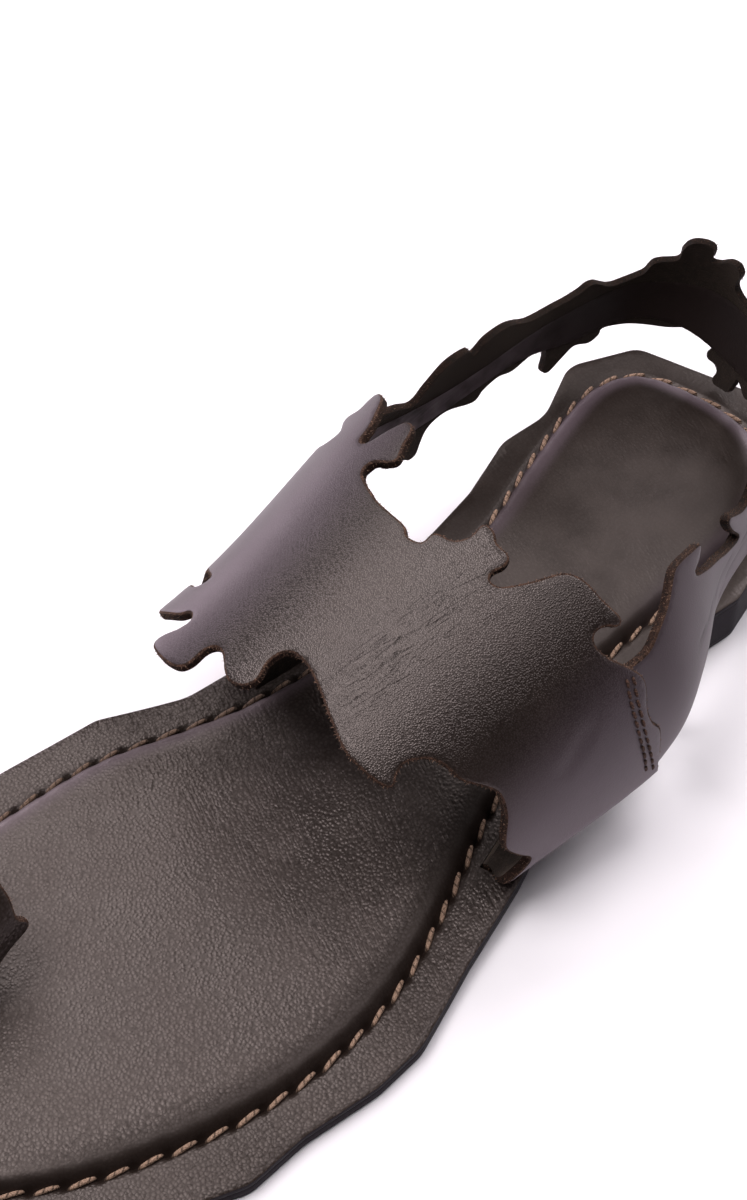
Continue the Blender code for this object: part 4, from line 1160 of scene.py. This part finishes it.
def stitchTree(name, finish):
    # beads of thread laid end to end along a line, each dipping into a hole
    tree = bpy.data.node_groups.new(name, "GeometryNodeTree")
    floats = ("Thread length", "Thread radius", "Thread rise", "Slant")
    kinds = {"Geometry": "Geometry", "Stitches": "Int"} | dict.fromkeys(floats, "Float")
    for label, kind in kinds.items():
        tree.interface.new_socket(label, in_out="INPUT", socket_type="NodeSocket" + kind)
    tree.interface.new_socket("Geometry", in_out="OUTPUT", socket_type="NodeSocketGeometry")
    maker = NodeMaker(tree)
    node = maker.node
    outputs = tree.nodes.new("NodeGroupInput").outputs
    given = {label: Value(maker, outputs[label]) for label in kinds}
    stored = {"data_type": "FLOAT", "domain": "POINT"}
    # the bead: an arc whose ends dive, thick in the middle
    ends = {"Start": (-0.5, 0, 0), "End": (0.5, 0, 0)}
    bead = node("GeometryNodeCurvePrimitiveLine", {}, ends)
    bead = node("GeometryNodeResampleCurve", {}, {"Curve": bead, "Count": 13})
    along = node("GeometryNodeSplineParameter", output="Factor")
    swell = (along * (1.0 - along) * 4.0) ** 0.42
    arch = (swell - 0.45) * given["Thread rise"]
    length = (along - 0.5) * given["Thread length"]
    spot = node("ShaderNodeCombineXYZ", {}, {"X": length, "Y": 0.0, "Z": arch})
    bead = node("GeometryNodeSetPosition", {}, {"Geometry": bead, "Position": spot})
    radius = (swell * 0.62 + 0.38) * given["Thread radius"]
    bead = node("GeometryNodeStoreNamedAttribute", stored,
                {"Geometry": bead, "Name": "threadAlong", "Value": along})
    circle = node("GeometryNodeCurvePrimitiveCircle", {"mode": "RADIUS"},
                  {"Resolution": 10, "Radius": 1.0})
    around = node("GeometryNodeSplineParameter", output="Factor")
    circle = node("GeometryNodeStoreNamedAttribute", stored,
                  {"Geometry": circle, "Name": "threadAround", "Value": around})
    bead = node("GeometryNodeCurveToMesh", {},
                {"Curve": bead, "Profile Curve": circle, "Scale": radius, "Fill Caps": True})
    # one bead on each point of the line, turned along it
    line = {"Curve": given["Geometry"], "Count": given["Stitches"]}
    line = node("GeometryNodeResampleCurve", {}, line)
    tangent = node("GeometryNodeInputTangent")
    turn = node("FunctionNodeAlignRotationToVector", {"axis": "X"}, {"Vector": tangent})
    turn = node("FunctionNodeAlignRotationToVector", {"axis": "Z", "pivot_axis": "X"},
                {"Rotation": turn, "Vector": node("ShaderNodeCombineXYZ", {}, {"Z": 1.0})})
    slant = node("ShaderNodeCombineXYZ", {}, {"Z": given["Slant"]})
    slant = node("FunctionNodeEulerToRotation", {}, {"Euler": slant})
    turn = node("FunctionNodeRotateRotation", {"rotation_space": "LOCAL"},
                {"Rotation": turn, "Rotate By": slant})
    vary = node("FunctionNodeRandomValue", {"data_type": "FLOAT"},
                {2: 0.93, 3: 1.07, "Seed": 3}, 1)
    made = node("GeometryNodeInstanceOnPoints", {},
                {"Points": line, "Instance": bead, "Rotation": turn, "Scale": vary})
    made = node("GeometryNodeRealizeInstances", {}, {"Geometry": made})
    made = node("GeometryNodeSetShadeSmooth", {}, {"Geometry": made})
    made = node("GeometryNodeSetMaterial", {}, {"Geometry": made, "Material": finish})
    node("NodeGroupOutput", {}, {0: made})
    return tree


def sewAlong(name, tree, line, closed, values):
    # runs the stitch tree over a line of points, in millimetres, and keeps the mesh
    curve = bpy.data.curves.new(name + "Line", "CURVE")
    curve.dimensions = "3D"
    spline = curve.splines.new("POLY")
    spline.points.add(len(line) - 1)
    places = np.column_stack([line * mm, np.ones(len(line))])
    spline.points.foreach_set("co", places.astype(np.float32).ravel())
    spline.use_cyclic_u = closed
    guide = addObject(name + "Line", curve)
    modifier = guide.modifiers.new("stitches", "NODES")
    modifier.node_group = tree
    for item in tree.interface.items_tree:
        if item.in_out == "INPUT" and item.name in values:
            modifier[item.identifier] = values[item.name]
    graph = bpy.context.evaluated_depsgraph_get()
    mesh = bpy.data.meshes.new_from_object(guide.evaluated_get(graph))
    bpy.data.objects.remove(guide)
    return addObject(name, mesh)


print("finishes")
strapGrainLeather = grainLeather("strapGrain", strapLook)
heelGrainLeather = grainLeather("heelStrapGrain", heelLook)
bedGrainLeather = grainLeather("bedGrain", bedLook)
cutEdge = rawEdge("cutEdge", edgeLook)
flesh = rawEdge("fleshSide", fleshLook)
ink = paintedEdge("edgeInk", inkLook)
rubber = paintedEdge("soleRubber", inkLook)
liningLeather = smoothLining("liningLeather", liningLook)
thread = waxedThread("waxedThread", threadLook)
lapThread = waxedThread("lapThread", lapThreadLook)

print("straps")
instep = Arch(instepRows, marginTop, marginTop)
toe = Arch(toeRows, marginTop, lambda x: marginTop(x) + sole["padRise"])
band = Band(instep)
tab = leatherCut["clear"] + sole["marginThick"]
instepPiece = plainStrap | {
    # the fine grid fills a box of the pattern: lowest x and width, highest x and width
    "fineGrid": 0.21, "fineBox": (-18.5, 84.5, 13.5, 96.0),
    "creases": (
        (-6.0, 86.5, -18.0, 88.1, 0.045, 0.22), (-7.0, 88.5, -17.5, 90.1, 0.038, 0.20),
        (0.0, 86.2, -9.0, 86.8, 0.030, 0.20), (-1.8, 89.7, -13.5, 90.7, 0.045, 0.22),
        (3.5, 87.8, -8.5, 90.5, 0.045, 0.22), (-2.8, 92.9, -11.2, 93.2, 0.038, 0.20),
        (3.8, 91.8, -7.0, 90.2, 0.045, 0.21), (5.2, 92.4, -2.8, 91.4, 0.030, 0.20),
        (12.0, 92.8, -1.0, 95.0, 0.045, 0.23), (13.4, 92.9, 1.8, 94.0, 0.030, 0.20),
        (9.0, 93.5, -4.0, 93.0, 0.045, 0.21), (-9.0, 85.2, -17.0, 86.4, 0.022, 0.20),
        (7.0, 91.6, -1.0, 90.2, 0.030, 0.20), (1.5, 95.0, -6.0, 94.4, 0.030, 0.20),
        (-10.0, 91.8, -16.5, 92.6, 0.038, 0.20), (6.5, 89.6, 0.5, 88.2, 0.038, 0.20),
        (-8.0, 87.4, -15.0, 88.6, 0.053, 0.20), (-4.5, 90.6, -12.0, 91.6, 0.045, 0.20),
        (2.0, 89.0, -6.0, 89.6, 0.045, 0.20), (8.0, 90.6, 1.5, 90.0, 0.045, 0.20),
        (10.5, 91.6, 3.0, 92.4, 0.053, 0.22), (-1.0, 94.0, -9.0, 94.2, 0.038, 0.20),
        (4.6, 94.2, -2.0, 93.6, 0.045, 0.20), (-12.0, 90.0, -17.5, 91.0, 0.045, 0.20),
        (12.5, 91.4, 6.0, 92.6, 0.045, 0.20), (0.5, 91.3, -5.5, 92.0, 0.045, 0.20),
    ),
    "waviness": 0.26, "creaseShade": 4.2, "mostShade": 0.5,
    "folds": (
        (-20.5, 120.5, -10.0, 128.5, 0.16, 2.2), (-20.0, 114.0, 2.0, 117.0, 0.08, 2.6),
        (-24.0, 108.0, -12.0, 124.0, 0.05, 0.8), (-19.0, 107.0, -6.0, 121.0, 0.05, 0.9),
        (-25.0, 116.0, -16.0, 127.0, 0.05, 0.7),
    ),
    "slopes": ((78.0, -14.0, 0.36), (58.0, -12.0, -0.36)),
    "swellSize": 30.0, "swellSeed": 3, "seed": 11,
}
ring = instep.pattern(instepFront, instepRear, (tab, tab))
free = spread(ring, instepPiece["grid"])
left, low, right, high = instepPiece["fineBox"]
fineRing = np.array([(left, low), (right, low), (right, high), (left, high)])
fine = spread(fineRing, instepPiece["fineGrid"], 0.3)
fine = fine[inside(ring, fine) & (nearest(ring, fine)[0] > 0.6)]
free = np.vstack([free[~inside(fineRing, free)], fine])
strapFinishes = (strapGrainLeather, flesh, cutEdge)
instepStrap = strapShell("instepStrap", ring, free, instep, strapFinishes, instepPiece)

heelPiece = plainStrap | {
    "creases": (
        (177.0, 27.0, 195.0, 28.0, 0.16, 0.7), (187.0, 31.0, 205.0, 32.5, 0.16, 0.7),
        (191.0, 26.0, 209.0, 27.0, 0.16, 0.7), (199.0, 33.0, 217.0, 35.0, 0.16, 0.7),
        (169.0, 30.0, 187.0, 29.5, 0.16, 0.7), (51.0, 31.0, 69.0, 31.5, 0.16, 0.7),
        (75.0, 29.0, 93.0, 28.5, 0.16, 0.7),
    ),
    "swell": 0.10, "seed": 17,
}
ring = closedRing(throughRows(heelTop, 0.7), throughRows(heelBottom, 0.7))
free, heelFinishes = spread(ring, heelPiece["grid"]), (heelGrainLeather, flesh, cutEdge)
heelStrap = strapShell("heelStrap", ring, free, band, heelFinishes, heelPiece)

toePiece = plainStrap | {"grid": 0.9, "swellSize": 20.0, "swellSeed": 6, "seed": 23}
ring = toe.pattern(toeFront, toeRear, (tab, tab + sole["padRise"]))
free, toeFinishes = spread(ring, toePiece["grid"]), (bedGrainLeather, flesh, cutEdge)
toeLoop = strapShell("toeLoop", ring, free, toe, toeFinishes, toePiece)

print("lining")
liningPiece = plainStrap | {
    "grid": 1.2, "thick": 0.12, "swell": 0.0, "seed": 29,
    "start": 1.82,             # its depth under the heel strap's outer face
    # length along the strap, upper z, lower z
    "rows": (
        (20.0, 33.0, 22.5), (40.0, 31.0, 24.5), (60.0, 32.5, 27.2), (80.0, 32.5, 23.0),
        (100.0, 33.5, 23.2), (118.0, 34.0, 20.0), (140.0, 32.0, 20.8), (160.0, 31.5, 21.0),
        (180.0, 32.5, 21.2), (200.0, 33.0, 21.0), (216.0, 35.0, 19.0),
    ),
}
rows = np.array(liningPiece["rows"])
ring = closedRing(throughRows(rows[:, [0, 1]], 0.9), throughRows(rows[::-1, [0, 2]], 0.9))
free, liningFinishes = spread(ring, liningPiece["grid"]), (liningLeather, liningLeather, flesh)
heelLining = strapShell("heelLining", ring, free, band, liningFinishes, liningPiece)

print("footbed and outsole")
slots = []
for arch, front, rear in ((instep, instepFront, instepRear), (toe, toeFront, toeRear)):
    slots.append(slotRing(arch, front[0][1], rear[-1][1], False))
    slots.append(slotRing(arch, front[-1][1], rear[0][1], True))
footbed = makeFootbed((bedGrainLeather, flesh, ink), slots)
outsole = makeOutsole((rubber,))

print("stitches")
seamStitch = {
    "Thread length": 4.7 * mm, "Thread radius": 0.46 * mm, "Thread rise": 0.60 * mm,
    "Slant": 0.20, "lift": 0.10,
}
lapStitch = {
    "Thread length": 1.6 * mm, "Thread radius": 0.29 * mm, "Thread rise": 0.26 * mm,
    "Slant": 0.12, "pitch": 1.85, "lift": 0.05,
    # two rows of holes: x and share
    "rows": (
        ((-28.7, 74.3), (-28.0, 76.1), (-27.8, 78.6), (-28.0, 81.4), (-29.2, 86.3)),
        ((-30.0, 74.5), (-29.3, 76.7), (-29.2, 79.2), (-29.6, 82.4), (-31.1, 87.0)),
    ),
}
# the seam's beads start half a stitch along, so that each lies between two holes
turned = evenly(np.vstack([seamLine, seamLine[:1]]), 0.5)
lengths = np.arange(len(turned)) * seamLength / (len(turned) - 1)
shifted = (lengths + 0.5 * seamLength / stitchCount) % seamLength
line = np.column_stack([np.interp(shifted, lengths, column) for column in turned.T])[:-1]
height = marginTop(line[:, 0]) - bed["groove"] + seamStitch["lift"]
seamThread = sewAlong(
    "seamThread", stitchTree("threadStitches", thread), np.column_stack([line, height]), True,
    seamStitch | {"Stitches": stitchCount},
)
lapTree, lapThreads = stitchTree("lapStitches", lapThread), []
for number, row in enumerate(lapStitch["rows"]):
    flat = throughRows([(x, share * leatherCut["shareMm"]) for x, share in row], 0.5)
    places, normals = instep.face(flat)
    values = lapStitch | {"Stitches": round(len(flat) * 0.5 / lapStitch["pitch"])}
    line = places + normals * lapStitch["lift"]
    lapThreads.append(sewAlong(f"lapThread{number + 1}", lapTree, line, False, values))

for piece, node, slot in (
    (footbed, "footbed", "bed_leather"), (outsole, "outsole", "sole_rubber"),
    (instepStrap, "upper", "strap_leather"), (heelStrap, "upper", "strap_leather"),
    (toeLoop, "toe_loop", "loop_leather"), (heelLining, None, "strap_leather"),
    (seamThread, None, None), (lapThreads[0], None, None), (lapThreads[1], None, None),
):
    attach(piece, "root")
    if node:
        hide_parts(node)

print("stage")
stageLook = {
    # sizes of the stage are in metres
    "floorHalf": 3.0, "floorColour": (0.885, 0.835, 0.880),
    "skyColour": (0.93, 0.92, 1.0), "sky": 0.02,
    "lightDistance": 1.1, "lightSize": 0.55,
    # bearing from the toe round to the outer side, height in degrees, watts, colour
    "lights": (
        ("heelLight", 180.0, 32.0, 6.8, (1.0, 0.99, 1.0)),
        ("topLight", -34.0, 70.0, 8.8, (1.0, 0.99, 0.98)),
        ("sideLight", -90.0, 12.0, 7.4, (1.0, 0.90, 0.97)),
        ("windowLight", -112.0, 52.0, 4.9, (1.0, 0.99, 0.98)),
        ("rearLight", 135.0, 70.0, 3.1, (1.0, 0.99, 1.0)),
    ),
}
# millimetres and degrees; the lens's focal length is a share of the sensor's width
view = {
    "target": (-35.0, -25.0, 3.9), "bearing": 42.28, "height": 51.0, "roll": 1.0,
    "distance": 435.0, "focalShare": 11.0 / 6.0, "sensor": 36.0,
}


def paleFloor():
    finish = Finish("paleFloor")
    tone = (*stageLook["floorColour"], 1.0)
    return finish.done(finish.layer({"Base Color": tone, "Roughness": 0.9, "IOR": 1.3}))


def aim(bearing, height):
    turn, lift = math.radians(bearing), math.radians(height)
    level = math.cos(lift)
    return Vector((level * math.cos(turn), level * math.sin(turn), math.sin(lift)))


def makeStage():
    half = stageLook["floorHalf"]
    mesh = bpy.data.meshes.new("floor")
    corners = [(-half, -half, 0.0), (half, -half, 0.0), (half, half, 0.0), (-half, half, 0.0)]
    mesh.from_pydata(corners, [], [(0, 1, 2, 3)])
    mesh.materials.append(paleFloor())
    addObject("floor", mesh)
    for name, bearing, height, watts, colour in stageLook["lights"]:
        light = bpy.data.lights.new(name, "AREA")
        light.shape, light.size = "SQUARE", stageLook["lightSize"]
        light.energy, light.color = watts, colour
        lamp = addObject(name, light)
        towards = aim(bearing, height)
        lamp.location = towards * stageLook["lightDistance"]
        lamp.rotation_euler = towards.to_track_quat("Z", "Y").to_euler()
    world = bpy.data.worlds.new("studio")
    bpy.context.scene.world = world
    world.use_nodes = True
    sky = world.node_tree.nodes["Background"]
    sky.inputs["Color"].default_value = (*stageLook["skyColour"], 1.0)
    sky.inputs["Strength"].default_value = stageLook["sky"]
    bpy.context.scene.view_settings.view_transform = "Standard"


def makeCamera():
    away = aim(view["bearing"], view["height"])
    right = Vector((-away.y, away.x, 0.0)).normalized()
    roll = math.radians(view["roll"])
    up = away.cross(right)
    rolledRight = right * math.cos(roll) + up * math.sin(roll)
    rolledUp = up * math.cos(roll) - right * math.sin(roll)
    camera = bpy.data.cameras.new("camera")
    camera.sensor_width = view["sensor"]
    camera.lens = view["sensor"] * view["focalShare"]
    camera.clip_start = 0.01
    made = addObject("camera", camera)
    turned = Matrix((rolledRight, rolledUp, away)).transposed().to_4x4()
    place = (Vector(view["target"]) + away * view["distance"]) * mm
    made.matrix_world = Matrix.Translation(place) @ turned
    bpy.context.scene.camera = made


makeStage()
makeCamera()
